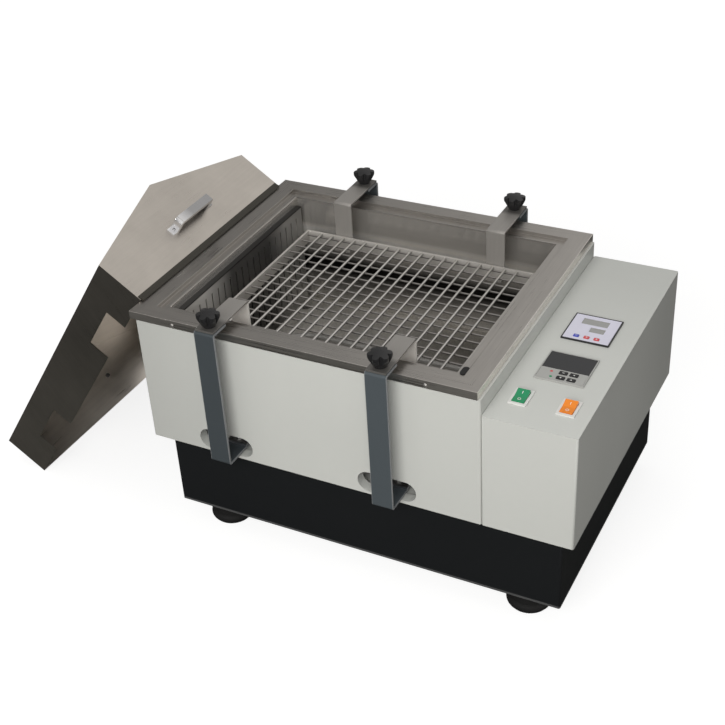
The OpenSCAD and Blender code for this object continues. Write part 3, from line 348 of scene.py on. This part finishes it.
def ramp(tree, value, start, end, low, high):
    """Value that runs from low to high between two places."""
    return put(tree, "ShaderNodeMapRange", {
        "Value": value, "From Min": start, "From Max": end,
        "To Min": low, "To Max": high}).outputs[0]


def between(tree, share, a, b):
    """Colour between two colours."""
    return put(tree, "ShaderNodeMix", {0: share, 6: a, 7: b}, data_type="RGBA").outputs[2]


def tone(material, level):
    """Multiplies a finish's colour by a level."""
    tree = material.node_tree
    socket = tree.nodes["Principled BSDF"].inputs["Base Color"]
    tree.links.new(shaded(tree, socket.links[0].from_socket, level), socket)
    return material


def overpaint(material, share, colour):
    """Covers a share of a finish with another colour."""
    tree = material.node_tree
    socket = tree.nodes["Principled BSDF"].inputs["Base Color"]
    tree.links.new(between(tree, share, socket.links[0].from_socket, (*colour, 1.0)), socket)
    return material


def dress(names, material):
    """Gives CAD nodes a material."""
    for name in names:
        part = NODES[name]
        if not part.material_slots:
            part.data.materials.append(material)
        for slot in part.material_slots:
            slot.material = material


def soften(names, radius, segments=2):
    """Rounds the sharp edges of CAD nodes with modifiers."""
    for name in names:
        part = NODES[name]
        weld = part.modifiers.new("Joined edges", "WELD")
        weld.merge_threshold = EDGE_GAP
        edge = part.modifiers.new("Rounded edges", "BEVEL")
        edge.limit_method = "ANGLE"
        edge.angle_limit = EDGE_ANGLE
        edge.width = radius
        edge.segments = segments
        edge.harden_normals = True


def add_piece(name, mesh, material, body):
    """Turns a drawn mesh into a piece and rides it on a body."""
    bmesh.ops.recalc_face_normals(mesh, faces=mesh.faces)
    data = bpy.data.meshes.new(name)
    mesh.to_mesh(data)
    mesh.free()
    piece = bpy.data.objects.new(name, data)
    piece.data.materials.append(material)
    bpy.context.scene.collection.objects.link(piece)
    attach(piece, body)


def rectangle(half_x, half_y):
    """Outline of a rectangle."""
    return [(-half_x, -half_y), (half_x, -half_y), (half_x, half_y), (-half_x, half_y)]


def circle(radius, count=24):
    """Outline of a circle."""
    return [(radius * math.cos(2 * math.pi * k / count), radius * math.sin(2 * math.pi * k / count))
            for k in range(count)]


def rounded_loop(half_x, half_y, radius, count):
    """Outline of a rectangle with rounded corners, with count points for each corner."""
    loop = []
    for turn, (sx, sy) in enumerate(((1, 1), (-1, 1), (-1, -1), (1, -1))):
        for k in range(count):
            angle = math.pi / 2 * (turn + k / (count - 1))
            loop.append((sx * (half_x - radius) + radius * math.cos(angle),
                         sy * (half_y - radius) + radius * math.sin(angle)))
    return loop


def join(mesh, first, second):
    """Closes the strip between two loops of vertices."""
    for k in range(len(first)):
        j = (k + 1) % len(first)
        mesh.faces.new((first[k], first[j], second[j], second[k]))


def raised(mesh, outline, matrix, height):
    """Two copies of an outline, below and above its plane."""
    return [[mesh.verts.new(matrix @ Vector((x, y, z))) for x, y in outline]
            for z in (-height, height)]


def prism(mesh, outline, matrix, height):
    """Solid with the outline given, as high above its plane as below."""
    under, over = raised(mesh, outline, matrix, height)
    join(mesh, under, over)
    mesh.faces.new(under[::-1])
    mesh.faces.new(over)


def ring(mesh, outer, inner, matrix, height):
    """Ring between two outlines, as high above its plane as below."""
    loops = raised(mesh, outer, matrix, height) + raised(mesh, inner, matrix, height)
    for a, b in ((0, 1), (1, 3), (3, 2), (2, 0)):
        join(mesh, loops[a], loops[b])


def base_black(colour, highlight_colour):
    """Black paint with a painted highlight along the base's lower edge."""
    material = finish("Base paint", "paint", colour, 0.40, bump=0.25, Peel=900.0)
    tree = material.node_tree
    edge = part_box("base_shell")[0].z
    # Painted highlight: paler colour in the lowest 2 mm of the base.
    edge_highlight = ramp(tree, position(tree)["Z"], edge + 1.2 * MM, edge + 2.2 * MM, 1.0, 0.0)
    return overpaint(material, edge_highlight, highlight_colour)


def housing_white(colour):
    """Warm white paint, with painted shade at the left end and toward the back."""
    material = finish("Housing paint", "paint", colour, 0.42, bump=0.12)
    tree = material.node_tree
    place = position(tree)
    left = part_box("front_panel")[0].x
    # Painted shade: darker toward the left end and toward the back.
    along = ramp(tree, place["X"], left, left + 240 * MM, 0.84, 1.0)
    back = ramp(tree, place["Y"], -40 * MM, 180 * MM, 1.0, 0.90)
    return tone(material, calc(tree, "MULTIPLY", along, back))


class BATH_OT_body(bpy.types.Operator):
    """Finishes the housing, control box, base and feet"""

    bl_idname = "bath.body"
    bl_label = "Housing and base"

    def execute(self, context):
        sizes, colours = context.scene.bath_sizes, context.scene.bath_colours
        dress(("front_panel", "rear_panel", "side_panels", "control_box"),
              housing_white(colours.housing))
        dress(("base_shell", "floor_plate"), base_black(colours.base, colours.edge_highlight))
        dress(("rubber_feet",), finish(
            "Foot rubber", "plastic", colours.rubber, 0.72, bump=0.3, Grain=900.0))
        soften(("control_box", "base_shell"), sizes.fold)
        return {"FINISHED"}


class BATH_OT_collars(bpy.types.Operator):
    """Sets the painted collars that turn inward round the arms' slots"""

    bl_idname = "bath.collars"
    bl_label = "Slot collars"

    def execute(self, context):
        sizes = context.scene.bath_sizes
        half_x, half_z = sizes.slot_length / 2, sizes.slot_height / 2
        half_depth = (sizes.collar - PANEL_WALL) / 2
        radius = half_z + COLLAR_SHEET
        outer = rounded_loop(half_x + COLLAR_SHEET, radius, radius, COLLAR_STEPS)
        inner = rounded_loop(half_x, half_z, half_z, COLLAR_STEPS)
        mesh = bmesh.new()
        for side, panel, inward in (("front", "front_panel", 1), ("rear", "rear_panel", -1)):
            low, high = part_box(panel)
            y = (low.y if inward > 0 else high.y) + inward * (PANEL_WALL + half_depth)
            z = low.z + sizes.slot_lift + half_z
            for end in ("left", "right"):
                near, far = OPENINGS[side + "_" + end + "_slot"]["box_m"]
                middle = Matrix.Translation(((near[0] + far[0]) / 2, y, z))
                ring(mesh, outer, inner, middle @ UPRIGHT, half_depth)
        add_piece("slot_collars", mesh, bpy.data.materials["Housing paint"], "bath")
        return {"FINISHED"}


def tank_stainless(colour):
    """Satin sheet: painted light below the tray, a painted shade band lower down, painted light by the floor, a
    mottled floor, and painted light toward the left.
    """
    material = finish("Tank stainless", "steel", colour, 0.24, metallic=1.0, bump=0.04,
                      Lines=(10.0, 10.0, 500.0), Contrast=0.10, Cloud=0.12)
    tree = material.node_tree
    shader = tree.nodes["Principled BSDF"]
    rough = shader.inputs["Roughness"].links[0].from_socket
    place = position(tree)
    height = place["Z"]
    low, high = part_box("tank_tub")
    floor_z = low.z + 3 * MM
    bend_z = floor_z + 2 * MM
    gloss = ramp(tree, height, floor_z, bend_z, 1.5, 1.0)
    tree.links.new(calc(tree, "MULTIPLY", rough, gloss), shader.inputs["Roughness"])
    tree.links.new(ramp(tree, height, floor_z, bend_z, 1.0, 0.80), shader.inputs["Metallic"])
    tray_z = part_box("grid_wires")[0].z
    # Painted light on the walls just below the tray, then a painted shade band lower down, with painted light
    # again near the floor.
    painted_light_under_tray = ramp(tree, height, tray_z - 12 * MM, tray_z + 4 * MM, 2.2, 1.0)
    painted_shade_band_top = ramp(tree, height, floor_z + 84 * MM, floor_z + 126 * MM, 0.02, 2.0)
    painted_light_at_floor = ramp(tree, height, floor_z - 5 * MM, floor_z + 66 * MM, 1.45, 0.0)
    level = calc(tree, "MAXIMUM", calc(tree, "MINIMUM", painted_light_under_tray, painted_shade_band_top), painted_light_at_floor)
    speck = grain(tree, put(tree, "ShaderNodeTexCoord").outputs["Object"], 380.0, 2.0)
    mottle = calc(tree, "SUBTRACT", ramp(tree, speck, 0.35, 0.65, 0.84, 1.12), 1.0)
    floor = calc(tree, "LESS_THAN", height, floor_z)
    level = calc(tree, "MULTIPLY", level, calc(tree, "MULTIPLY_ADD", floor, mottle, 1.0))
    # Painted light: paler toward the left wall.
    across = ramp(tree, place["X"], low.x, high.x, 1.16, 0.90)
    shader.inputs["Anisotropic"].default_value = 0.85
    shader.inputs["Anisotropic Rotation"].default_value = 0.25
    return tone(material, calc(tree, "MULTIPLY", level, across))


def rim_stainless(colour):
    """Brushed sheet whose lines run along each side, with painted light on the lip, a painted highlight on the
    left ledge and painted shade toward the left end.
    """
    material = finish("Rim stainless", "steel", colour, 0.32, metallic=0.94, bump=0.06,
                      Lines=(10.0, 420.0, 420.0), Contrast=0.32)
    tree = material.node_tree
    shader = tree.nodes["Principled BSDF"]
    ends = next(node for node in tree.nodes if node.type == "GROUP")
    sides = put(tree, "ShaderNodeGroup", node_tree=GROUPS["steel"])
    for socket in ends.inputs:
        sides.inputs[socket.name].default_value = socket.default_value
    sides.inputs["Lines"].default_value = (420.0, 10.0, 420.0)
    low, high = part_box("tank_rim")
    place = position(tree)
    margins = []
    for axis, k in (("X", 0), ("Y", 1)):
        away = calc(tree, "SUBTRACT", place[axis], (low[k] + high[k]) / 2)
        away = calc(tree, "ABSOLUTE", away)
        margins.append(calc(tree, "SUBTRACT", (high[k] - low[k]) / 2, away))
    share = calc(tree, "LESS_THAN", margins[0], margins[1])
    tree.links.new(between(tree, share, ends.outputs["Colour"], sides.outputs["Colour"]),
                   shader.inputs["Base Color"])
    rough = put(tree, "ShaderNodeMix", {
        0: share, 2: ends.outputs["Roughness"], 3: sides.outputs["Roughness"]})
    tree.links.new(rough.outputs[0], shader.inputs["Roughness"])
    sheet_low, sheet_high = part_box("heater_tube")
    ledge = sheet_low.x
    # Painted highlight: a paler line along the inner edge of the left ledge.
    painted_ledge_highlight = ramp(tree, place["X"], ledge - 4 * MM, ledge - 1 * MM, 0.0, 0.45)
    for value, limit in ((place["X"], ledge + 2 * MM),
                         (calc(tree, "ABSOLUTE", place["Y"]), sheet_high.y + 5 * MM)):
        painted_ledge_highlight = calc(tree, "MULTIPLY", painted_ledge_highlight, calc(tree, "LESS_THAN", value, limit))
    # Painted light: the lip's outer faces paler.
    lip = calc(tree, "LESS_THAN", calc(tree, "MINIMUM", *margins), 0.8 * MM)
    # Painted shade: darker toward the left end.
    level = ramp(tree, place["X"], low.x, high.x, 0.76, 1.08)
    level = calc(tree, "MULTIPLY_ADD", lip, 0.40, calc(tree, "ADD", level, painted_ledge_highlight))
    return tone(material, level)


def heater_stainless(colour):
    """Heater tube, kept at no less than 0.6 of its colour, and a slotted sheet with a painted reflection at the
    front and the far end and painted shade on its top flange.
    """
    material = finish("Heater steel", "steel", colour, 0.34, metallic=0.35, bump=0.05,
                      Lines=(30.0, 30.0, 30.0), Contrast=0.10, Cloud=0.30)
    tree = material.node_tree
    place = position(tree)
    low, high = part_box("heater_tube")
    # Painted reflection: bright at the front, dark in the middle, half bright at the far end.
    near = ramp(tree, place["Y"], low.y + 70 * MM, low.y + 150 * MM, 1.0, 0.10)
    far = ramp(tree, place["Y"], high.y - 130 * MM, high.y - 60 * MM, 0.0, 0.45)
    # Painted shade: the top flange nearly black, like the gap behind the sheet.
    painted_gap_shade = ramp(tree, place["Z"], high.z - 3 * MM, high.z - 1.6 * MM, 1.0, 0.03)
    level = calc(tree, "MULTIPLY", calc(tree, "MAXIMUM", near, far), painted_gap_shade)
    tube = calc(tree, "GREATER_THAN", place["X"], low.x + 15 * MM)
    return tone(material, calc(tree, "MAXIMUM", level, calc(tree, "MULTIPLY", tube, 0.6)))


class BATH_OT_tank(bpy.types.Operator):
    """Finishes the rim, tub, heater, probe, drain, plug and lip screws"""

    bl_idname = "bath.tank"
    bl_label = "Tank and rim"

    def execute(self, context):
        colours = context.scene.bath_colours
        dress(("tank_rim",), rim_stainless(colours.stainless))
        dress(("tank_tub",), tank_stainless(colours.tank))
        dress(("probe_sheath", "lip_screws", "drain_spout"), finish(
            "Bright steel", "steel", colours.bright, 0.26, metallic=0.9, bump=0.05,
            Lines=(200.0, 200.0, 200.0)))
        dress(("heater_tube",), heater_stainless(colours.bright))
        dress(("rim_plug",), finish("Plug rubber", "plastic", colours.rubber, 0.6, bump=0.2))
        soften(("tank_rim",), RIM_EDGE)
        return {"FINISHED"}


def arm_slate(colour, highlight_colour):
    """Slate paint, with painted shade on the left arms and a painted highlight along both edges of each strip."""
    material = finish("Arm paint", "paint", colour, 0.44, bump=0.2, Peel=1100.0)
    tree = material.node_tree
    left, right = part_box("front_left_arm"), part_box("front_right_arm")
    half = (left[1].x - left[0].x) / 2
    mid = (left[0].x + right[1].x) / 2
    across = position(tree)["X"]
    away = calc(tree, "ABSOLUTE", calc(tree, "SUBTRACT", across, mid))
    away = calc(tree, "ABSOLUTE", calc(tree, "SUBTRACT", away, right[0].x + half - mid))
    # Painted highlight: paler colour in the outer 0.7 mm of each strip.
    edge_highlight = ramp(tree, away, half - 0.7 * MM, half - 0.3 * MM, 0.0, 1.0)
    # Painted shade: darker toward the left arms.
    tone(material, ramp(tree, across, left[1].x, right[0].x, 0.78, 1.02))
    return overpaint(material, edge_highlight, highlight_colour)


def hanger_stainless(colour):
    """Brushed strip, with a painted shadow round its knob, painted shade on its top and painted light on each leg,
    most on the front ones.
    """
    material = finish("Hanger stainless", "steel", colour, 0.40, metallic=0.55, bump=0.08,
                      Lines=(500.0, 14.0, 14.0))
    tree = material.node_tree
    place = position(tree)
    top_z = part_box("front_left_hanger")[1].z
    knob_y = abs(JOINTS["front_left_knob_turn"]["pos_m"][1])
    # Painted shade on the top of the strip, and painted light on each leg, strongest on the front ones.
    top = calc(tree, "GREATER_THAN", place["Z"], top_z - 4 * MM)
    front = calc(tree, "LESS_THAN", place["Y"], 0.0)
    painted_leg_light = calc(tree, "MULTIPLY_ADD", front, 1.45, 0.80)
    painted_leg_light = calc(tree, "MULTIPLY", painted_leg_light, calc(tree, "SUBTRACT", 1.0, top))
    level = calc(tree, "MULTIPLY_ADD", top, 0.72, painted_leg_light)
    # Painted shadow round the knob.
    reach = calc(tree, "SUBTRACT", calc(tree, "ABSOLUTE", place["Y"]), knob_y)
    painted_knob_shadow = ramp(tree, calc(tree, "ABSOLUTE", reach), 14 * MM, 24 * MM, 0.45, 1.0)
    return tone(material, calc(tree, "MULTIPLY", level, painted_knob_shadow))


def grid_steel(name, node, colour, roughness, metallic, lines):
    """Drawn steel, with a painted highlight along the top of each rod and painted shade below."""
    material = finish(name, "steel", colour, roughness, metallic, bump=0.05, Lines=lines)
    tree = material.node_tree
    low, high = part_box(node)
    radius = (high.z - low.z) / 2
    # Painted shade: dark below the middle, bright along the top.
    return tone(material, ramp(
        tree, position(tree)["Z"], low.z + 0.9 * radius, low.z + 1.8 * radius, 0.30, 0.95))


class BATH_OT_shaker(bpy.types.Operator):
    """Finishes the arms, hangers, knobs, tray frame, grid and fasteners"""

    bl_idname = "bath.shaker"
    bl_label = "Shaker"

    def execute(self, context):
        colours = context.scene.bath_colours
        arms, hangers, knobs = (
            [quad + ending for quad in QUADS] for ending in ("_arm", "_hanger", "_knob"))
        dress(arms, arm_slate(colours.arms, colours.arm_edge_highlight))
        dress(hangers, hanger_stainless(colours.stainless))
        dress(knobs, finish("Knob plastic", "plastic", colours.plastic, 0.30, bump=0.12))
        dress(("tray_frame",), finish(
            "Tray stainless", "steel", colours.stainless, 0.32, metallic=0.35, bump=0.06,
            Lines=(14.0, 14.0, 900.0)))
        dress(("grid_rods",), grid_steel(
            "Rod steel", "grid_rods", colours.bright, 0.30, 0.75, (700.0, 12.0, 700.0)))
        dress(("grid_wires",), grid_steel(
            "Wire steel", "grid_wires", colours.wire, 0.40, 0.8, (12.0, 700.0, 700.0)))
        dress(("arm_fasteners",), finish(
            "Fastener steel", "steel", colours.bright, 0.30, metallic=1.0, bump=0.05,
            Lines=(300.0, 300.0, 300.0)))
        soften(hangers, STRIP_EDGE)
        soften(knobs, KNOB_EDGE, 3)
        soften(("tray_frame",), STRIP_EDGE)
        return {"FINISHED"}


def crossing_places(node, radius, axis, pitch):
    """Middles of a row of equal rods along one axis."""
    low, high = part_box(node)
    first, last = low[axis] + radius, high[axis] - radius
    count = round((last - first) / pitch) + 1
    return [first + k * (last - first) / (count - 1) for k in range(count)]


class BATH_OT_grid(bpy.types.Operator):
    """Welds the rods of the tray grid to the wires under them"""

    bl_idname = "bath.grid"
    bl_label = "Grid welds"

    def execute(self, context):
        sizes = context.scene.bath_sizes
        rod_low, rod_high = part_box("grid_rods")
        wire_low, wire_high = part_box("grid_wires")
        rod_radius, wire_radius = (rod_high.z - rod_low.z) / 2, (wire_high.z - wire_low.z) / 2
        level = (rod_low.z + wire_high.z) / 2
        rods = crossing_places("grid_rods", rod_radius, 0, sizes.pitch)
        wires = crossing_places("grid_wires", wire_radius, 1, sizes.pitch)
        mesh = bmesh.new()
        for i, x in enumerate(rods):
            for j, y in enumerate(wires):
                phase = WELD_PHASES[0] * i + WELD_PHASES[1] * j
                spread = 1.0 + WELD_SPREAD * math.sin(phase)
                turn = Matrix.Rotation(WELD_TURNS[0] * i + WELD_TURNS[1] * j, 4, "Z")
                bead = Matrix.Diagonal((
                    sizes.weld * spread, sizes.weld / spread, WELD_FLATNESS * sizes.weld, 1.0))
                bmesh.ops.create_icosphere(
                    mesh, subdivisions=2, radius=1.0,
                    matrix=Matrix.Translation((x, y, level)) @ turn @ bead)
        for face in mesh.faces:
            face.smooth = True
        add_piece("grid_welds", mesh, bpy.data.materials["Wire steel"], "carriage")
        return {"FINISHED"}


def lamp_lenses(red, green):
    """Unlit lenses: the upper one red, the lower one green."""
    material = finish("Lamp lens", "plastic", red, 0.25)
    tree = material.node_tree
    low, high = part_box("speed_lamps")
    share = calc(tree, "LESS_THAN", position(tree)["Y"], (low.y + high.y) / 2)
    return overpaint(material, share, green)


class BATH_OT_panel(bpy.types.Operator):
    """Finishes the controllers, keys, switches and rear fittings"""

    bl_idname = "bath.panel_parts"
    bl_label = "Control panel"

    def execute(self, context):
        sizes, colours = context.scene.bath_sizes, context.scene.bath_colours
        black = finish("Bezel plastic", "plastic", colours.plastic, 0.45, bump=0.12)
        dress(("temp_controller", "cable_gland", "fuse_holder"), black)
        dress(("speed_set_key", "speed_shift_key", "speed_down_key", "speed_up_key"), black)
        dress(("temp_face",), finish("Panel plastic", "plastic", colours.panel, 0.38, bump=0.05))
        dress(("temp_displays",), finish(
            "Display plastic", "plastic", colours.display, 0.16, bump=0.02, coat=0.5))
        dress(("speed_face", "speed_controller"), finish(
            "Grey plastic", "plastic", colours.grey, 0.42, bump=0.08))
        dress(("speed_window",), finish(
            "Window plastic", "plastic", colours.window, 0.14, bump=0.02, coat=0.6))
        dress(("temp_set_key",), finish("Blue key", "plastic", colours.blue, 0.4))
        dress(("temp_down_key", "temp_up_key"), finish("Red key", "plastic", colours.red, 0.4))
        dress(("speed_lamps",), lamp_lenses(colours.red, colours.green))
        dress(("rocker_frames",), finish("Switch frame", "plastic", colours.white, 0.4))
        dress(("green_rocker",), finish("Green rocker", "plastic", colours.green, 0.3, coat=0.3))
        dress(("orange_rocker",), finish(
            "Orange rocker", "plastic", colours.orange, 0.3, coat=0.3))
        soften(("temp_controller", "speed_controller", "rocker_frames", "green_rocker",
                "orange_rocker"), sizes.moulded)
        return {"FINISHED"}


class BATH_OT_marks(bpy.types.Operator):
    """Prints the signs on the rockers and keys"""

    bl_idname = "bath.marks"
    bl_label = "Panel marks"

    def execute(self, context):
        sizes, colours = context.scene.bath_sizes, context.scene.bath_colours
        white = finish("Mark print", "plastic", colours.white, 0.45, bump=0.02)
        for rocker in ("green_rocker", "orange_rocker"):
            pivot = Matrix.Translation(JOINTS[rocker + "_tilt"]["pos_m"]) @ Matrix.Rotation(
                sizes.rocker_tilt, 4, "X")
            spots = [pivot @ Matrix.Translation((0.0, side * SIGN_REACH, SIGN_RISE))
                     @ Matrix.Rotation(side * SIGN_SLOPE, 4, "X") for side in (-1, 1)]
            mesh = bmesh.new()
            ring(mesh, *(circle(radius) for radius in SIGN_RING), spots[0], sizes.mark)
            prism(mesh, rectangle(*SIGN_BAR), spots[1], sizes.mark)
            add_piece(rocker + "_signs", mesh, white, rocker)
        bar = rectangle(*KEY_BAR)
        for key, outline, turn in (
                ("temp_set_key", bar, 0), ("temp_down_key", KEY_ARROW, 180),
                ("temp_up_key", KEY_ARROW, 0), ("speed_set_key", bar, 0),
                ("speed_shift_key", KEY_ARROW, 90), ("speed_down_key", KEY_ARROW, 180),
                ("speed_up_key", KEY_ARROW, 0)):
            low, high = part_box(key)
            middle = Matrix.Translation(((low.x + high.x) / 2, (low.y + high.y) / 2, high.z))
            mesh = bmesh.new()
            prism(mesh, outline, middle @ Matrix.Rotation(math.radians(turn), 4, "Z"), sizes.mark)
            add_piece(key + "_sign", mesh, white, key)
        return {"FINISHED"}


def lid_stainless(colour, lean):
    """Brushed sheet, smudged in clouds, with painted light toward the table."""
    material = finish("Lid stainless", "steel", colour, 0.32, metallic=1.0, bump=0.08,
                      Lines=(600.0, 12.0, 12.0), Lean=lean, Cloud=0.42)
    tree = material.node_tree
    # Painted light: paler toward the table.
    return tone(material, ramp(tree, position(tree)["Z"], 10 * MM, 280 * MM, 1.55, 1.0))


def handle_chrome(colour):
    """Plated bow with a painted highlight at its front end."""
    material = finish("Handle chrome", "steel", colour, 0.16, metallic=0.9, bump=0.02,
                      Lines=(60.0, 60.0, 60.0), Contrast=0.05)
    tree = material.node_tree
    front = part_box("lid_handles")[0].y
    # Painted highlight: bright at the front end, darker toward the back.
    return tone(material, ramp(
        tree, position(tree)["Y"], front + 8 * MM, front + 45 * MM, 1.25, 0.55))


class BATH_OT_lid(bpy.types.Operator):
    """Finishes the lid, its handles and their screws"""

    bl_idname = "bath.lid"
    bl_label = "Lid"

    def execute(self, context):
        sizes, colours = context.scene.bath_sizes, context.scene.bath_colours
        dress(("lid_shell",), lid_stainless(colours.lid, sizes.lid_lean))
        dress(("lid_handles", "handle_screws"), handle_chrome(colours.chrome))
        soften(("lid_handles",), STRIP_EDGE)
        return {"FINISHED"}


class BATH_OT_trim(bpy.types.Operator):
    """Fits the rubber trim on the end of the lid that rests on the rim"""

    bl_idname = "bath.trim"
    bl_label = "Lid trim"

    def execute(self, context):
        sizes, colours = context.scene.bath_sizes, context.scene.bath_colours
        lean = sizes.lid_lean
        up = Vector((math.sin(lean), 0.0, math.cos(lean)))
        out = Vector((-math.cos(lean), 0.0, math.sin(lean)))
        shell = NODES["lid_shell"]
        places = [shell.matrix_world @ vertex.co for vertex in shell.data.vertices]
        shape = Matrix((up, out, (0.0, 1.0, 0.0))).transposed().to_4x4()
        shape.translation = (up * max(place.dot(up) for place in places)
                             + out * min(place.dot(out) for place in places))
        half = max(place.y for place in places) - TRIM_INSET
        mesh = bmesh.new()
        prism(mesh, [(u * MM, v * MM) for u, v in TRIM_SECTION], shape, half)
        rubber = finish("Trim rubber", "plastic", colours.trim, 0.6, bump=0.2, Grain=900.0)
        add_piece("lid_trim", mesh, rubber, "lid")
        return {"FINISHED"}


class BATH_OT_drive(bpy.types.Operator):
    """Finishes the drive inside the base"""

    bl_idname = "bath.drive"
    bl_label = "Drive"

    def execute(self, context):
        colours = context.scene.bath_colours
        dress(("drive_deck", "guide_blocks", "carriage_frame", "crank", "connecting_rod",
               "guide_rods"), finish(
            "Zinc steel", "steel", colours.zinc, 0.38, metallic=1.0, bump=0.08,
            Lines=(40.0, 40.0, 40.0)))
        dress(("gear_motor",), finish("Motor paint", "paint", colours.arms, 0.5, bump=0.3))
        dress(("slide_bushes",), finish("Bush plastic", "plastic", colours.plastic, 0.55))
        return {"FINISHED"}


def aim(place, target):
    """Matrix that stands at a place and looks at a target."""
    turn = (target - place).to_track_quat("-Z", "Y")
    return Matrix.Translation(place) @ turn.to_matrix().to_4x4()


def area_light(name, power, place, target, size, colour, mirrored):
    """Soft rectangular lamp, shown in mirror-like steel only where asked."""
    lamp = bpy.data.lights.new(name, "AREA")
    lamp.shape = "RECTANGLE"
    lamp.size, lamp.size_y = size
    lamp.energy = power
    lamp.color = colour
    holder = bpy.data.objects.new(name, lamp)
    holder.matrix_world = aim(Vector(place), Vector(target))
    holder.visible_glossy = mirrored
    bpy.context.scene.collection.objects.link(holder)


def by_ray(tree, seen, mirrored, other):
    """Shader that differs for the camera, for reflections and for other light."""
    path = put(tree, "ShaderNodeLightPath").outputs
    unseen = put(tree, "ShaderNodeMixShader", {
        0: path["Is Glossy Ray"], 1: other.outputs[0], 2: mirrored.outputs[0]})
    return put(tree, "ShaderNodeMixShader", {
        0: path["Is Camera Ray"], 1: unseen.outputs[0], 2: seen.outputs[0]}).outputs[0]


def studio_world(scene):
    """White behind the object, and a soft grey room for its light and reflections."""
    world = bpy.data.worlds.new("Studio")
    scene.world = world
    world.use_nodes = True
    tree = world.node_tree
    tree.nodes.clear()
    way = put(tree, "ShaderNodeSeparateXYZ", {
        0: put(tree, "ShaderNodeTexCoord").outputs["Generated"]}).outputs
    level = put(tree, "ShaderNodeMapRange", {
        "Value": way["X"], "From Min": -0.7, "From Max": 0.35, "To Min": 0.16, "To Max": 0.72},
        interpolation_type="SMOOTHSTEP").outputs[0]
    level = calc(tree, "MULTIPLY_ADD", way["Z"], 0.10, level)
    plain, room, white = (
        put(tree, "ShaderNodeBackground", {"Color": (*colour, 1.0), "Strength": strength})
        for colour, strength in (
            ((1.0, 0.995, 0.98), 0.35), ((1.0, 0.98, 0.955), level), ((1.0, 1.0, 1.0), 1.0)))
    put(tree, "ShaderNodeOutputWorld", {"Surface": by_ray(tree, white, room, plain)})


def studio_floor():
    """Pale floor that shows white to the camera and grey to the steel."""
    mesh = bmesh.new()
    bmesh.ops.create_grid(mesh, x_segments=2, y_segments=2, size=FLOOR_HALF)
    data = bpy.data.meshes.new("studio_floor")
    mesh.to_mesh(data)
    mesh.free()
    floor = bpy.data.objects.new("studio_floor", data)
    bpy.context.scene.collection.objects.link(floor)
    material = bpy.data.materials.new("Studio floor")
    material.use_nodes = True
    tree = material.node_tree
    tree.nodes.clear()
    pale, bounce, mirrored = (
        put(tree, "ShaderNodeBsdfDiffuse", {"Color": (*colour, 1.0)})
        for colour in ((0.34, 0.34, 0.34), (0.30, 0.29, 0.28), (0.06, 0.06, 0.057)))
    away = put(tree, "ShaderNodeVectorMath", {
        0: put(tree, "ShaderNodeTexCoord").outputs["Object"]}, operation="LENGTH")
    strength = ramp(tree, away.outputs["Value"], 0.8, 3.0, 0.80, 0.90)
    glow = put(tree, "ShaderNodeEmission", {"Color": (1.0, 1.0, 1.0, 1.0), "Strength": strength})
    shown = put(tree, "ShaderNodeAddShader", {0: pale.outputs[0], 1: glow.outputs[0]})
    put(tree, "ShaderNodeOutputMaterial", {"Surface": by_ray(tree, shown, mirrored, bounce)})
    data.materials.append(material)


class BATH_OT_stage(bpy.types.Operator):
    """Sets the camera, the lamps and a plain pale floor"""

    bl_idname = "bath.stage"
    bl_label = "Studio"

    def execute(self, context):
        scene, stage = context.scene, context.scene.bath_stage
        a, e, r = stage.azimuth, stage.elevation, stage.roll
        ahead = Vector((-math.sin(a) * math.cos(e), math.cos(a) * math.cos(e), -math.sin(e)))
        level = Vector((math.cos(a), math.sin(a), 0.0))
        rise = level.cross(ahead)
        right = level * math.cos(r) + rise * math.sin(r)
        up = rise * math.cos(r) - level * math.sin(r)
        camera = bpy.data.objects.new("Camera", bpy.data.cameras.new("Camera"))
        camera.data.lens = stage.lens
        camera.data.sensor_width = SENSOR_WIDTH
        camera.matrix_world = Matrix.Translation(stage.place) @ Matrix(
            (right, up, -ahead)).transposed().to_4x4()
        scene.collection.objects.link(camera)
        scene.camera = camera
        for name, *settings in LAMPS:
            area_light(name, getattr(stage, name.lower()), *settings)
        studio_world(scene)
        studio_floor()
        scene.view_settings.view_transform = "Standard"
        return {"FINISHED"}


OPERATORS = (BATH_OT_stage, BATH_OT_body, BATH_OT_collars, BATH_OT_tank, BATH_OT_shaker,
             BATH_OT_grid, BATH_OT_panel, BATH_OT_marks, BATH_OT_lid, BATH_OT_trim, BATH_OT_drive)


class BATH_PT_sidebar(bpy.types.Panel):
    """Lists the bath's operators and settings"""

    bl_idname = "BATH_PT_sidebar"
    bl_label = "Water bath"
    bl_space_type = "VIEW_3D"
    bl_region_type = "UI"
    bl_category = "Water bath"

    def draw(self, context):
        for operator in OPERATORS:
            self.layout.operator(operator.bl_idname)
        scene = context.scene
        for group in (scene.bath_sizes, scene.bath_colours, scene.bath_stage):
            for key in group.bl_rna.properties.keys():
                if key not in ("rna_type", "name"):
                    self.layout.prop(group, key)


CLASSES = (BathSizes, BathColours, BathStage, *OPERATORS, BATH_PT_sidebar)


def register():
    for cls in CLASSES:
        bpy.utils.register_class(cls)
    bpy.types.Scene.bath_sizes = bpy.props.PointerProperty(type=BathSizes)
    bpy.types.Scene.bath_colours = bpy.props.PointerProperty(type=BathColours)
    bpy.types.Scene.bath_stage = bpy.props.PointerProperty(type=BathStage)


def unregister():
    del bpy.types.Scene.bath_stage
    del bpy.types.Scene.bath_colours
    del bpy.types.Scene.bath_sizes
    for cls in reversed(CLASSES):
        bpy.utils.unregister_class(cls)


def main():
    """Builds the whole look."""
    register()
    for operator in OPERATORS:
        group, name = operator.bl_idname.split(".")
        getattr(getattr(bpy.ops, group), name)()


if __name__ == "__main__":
    main()
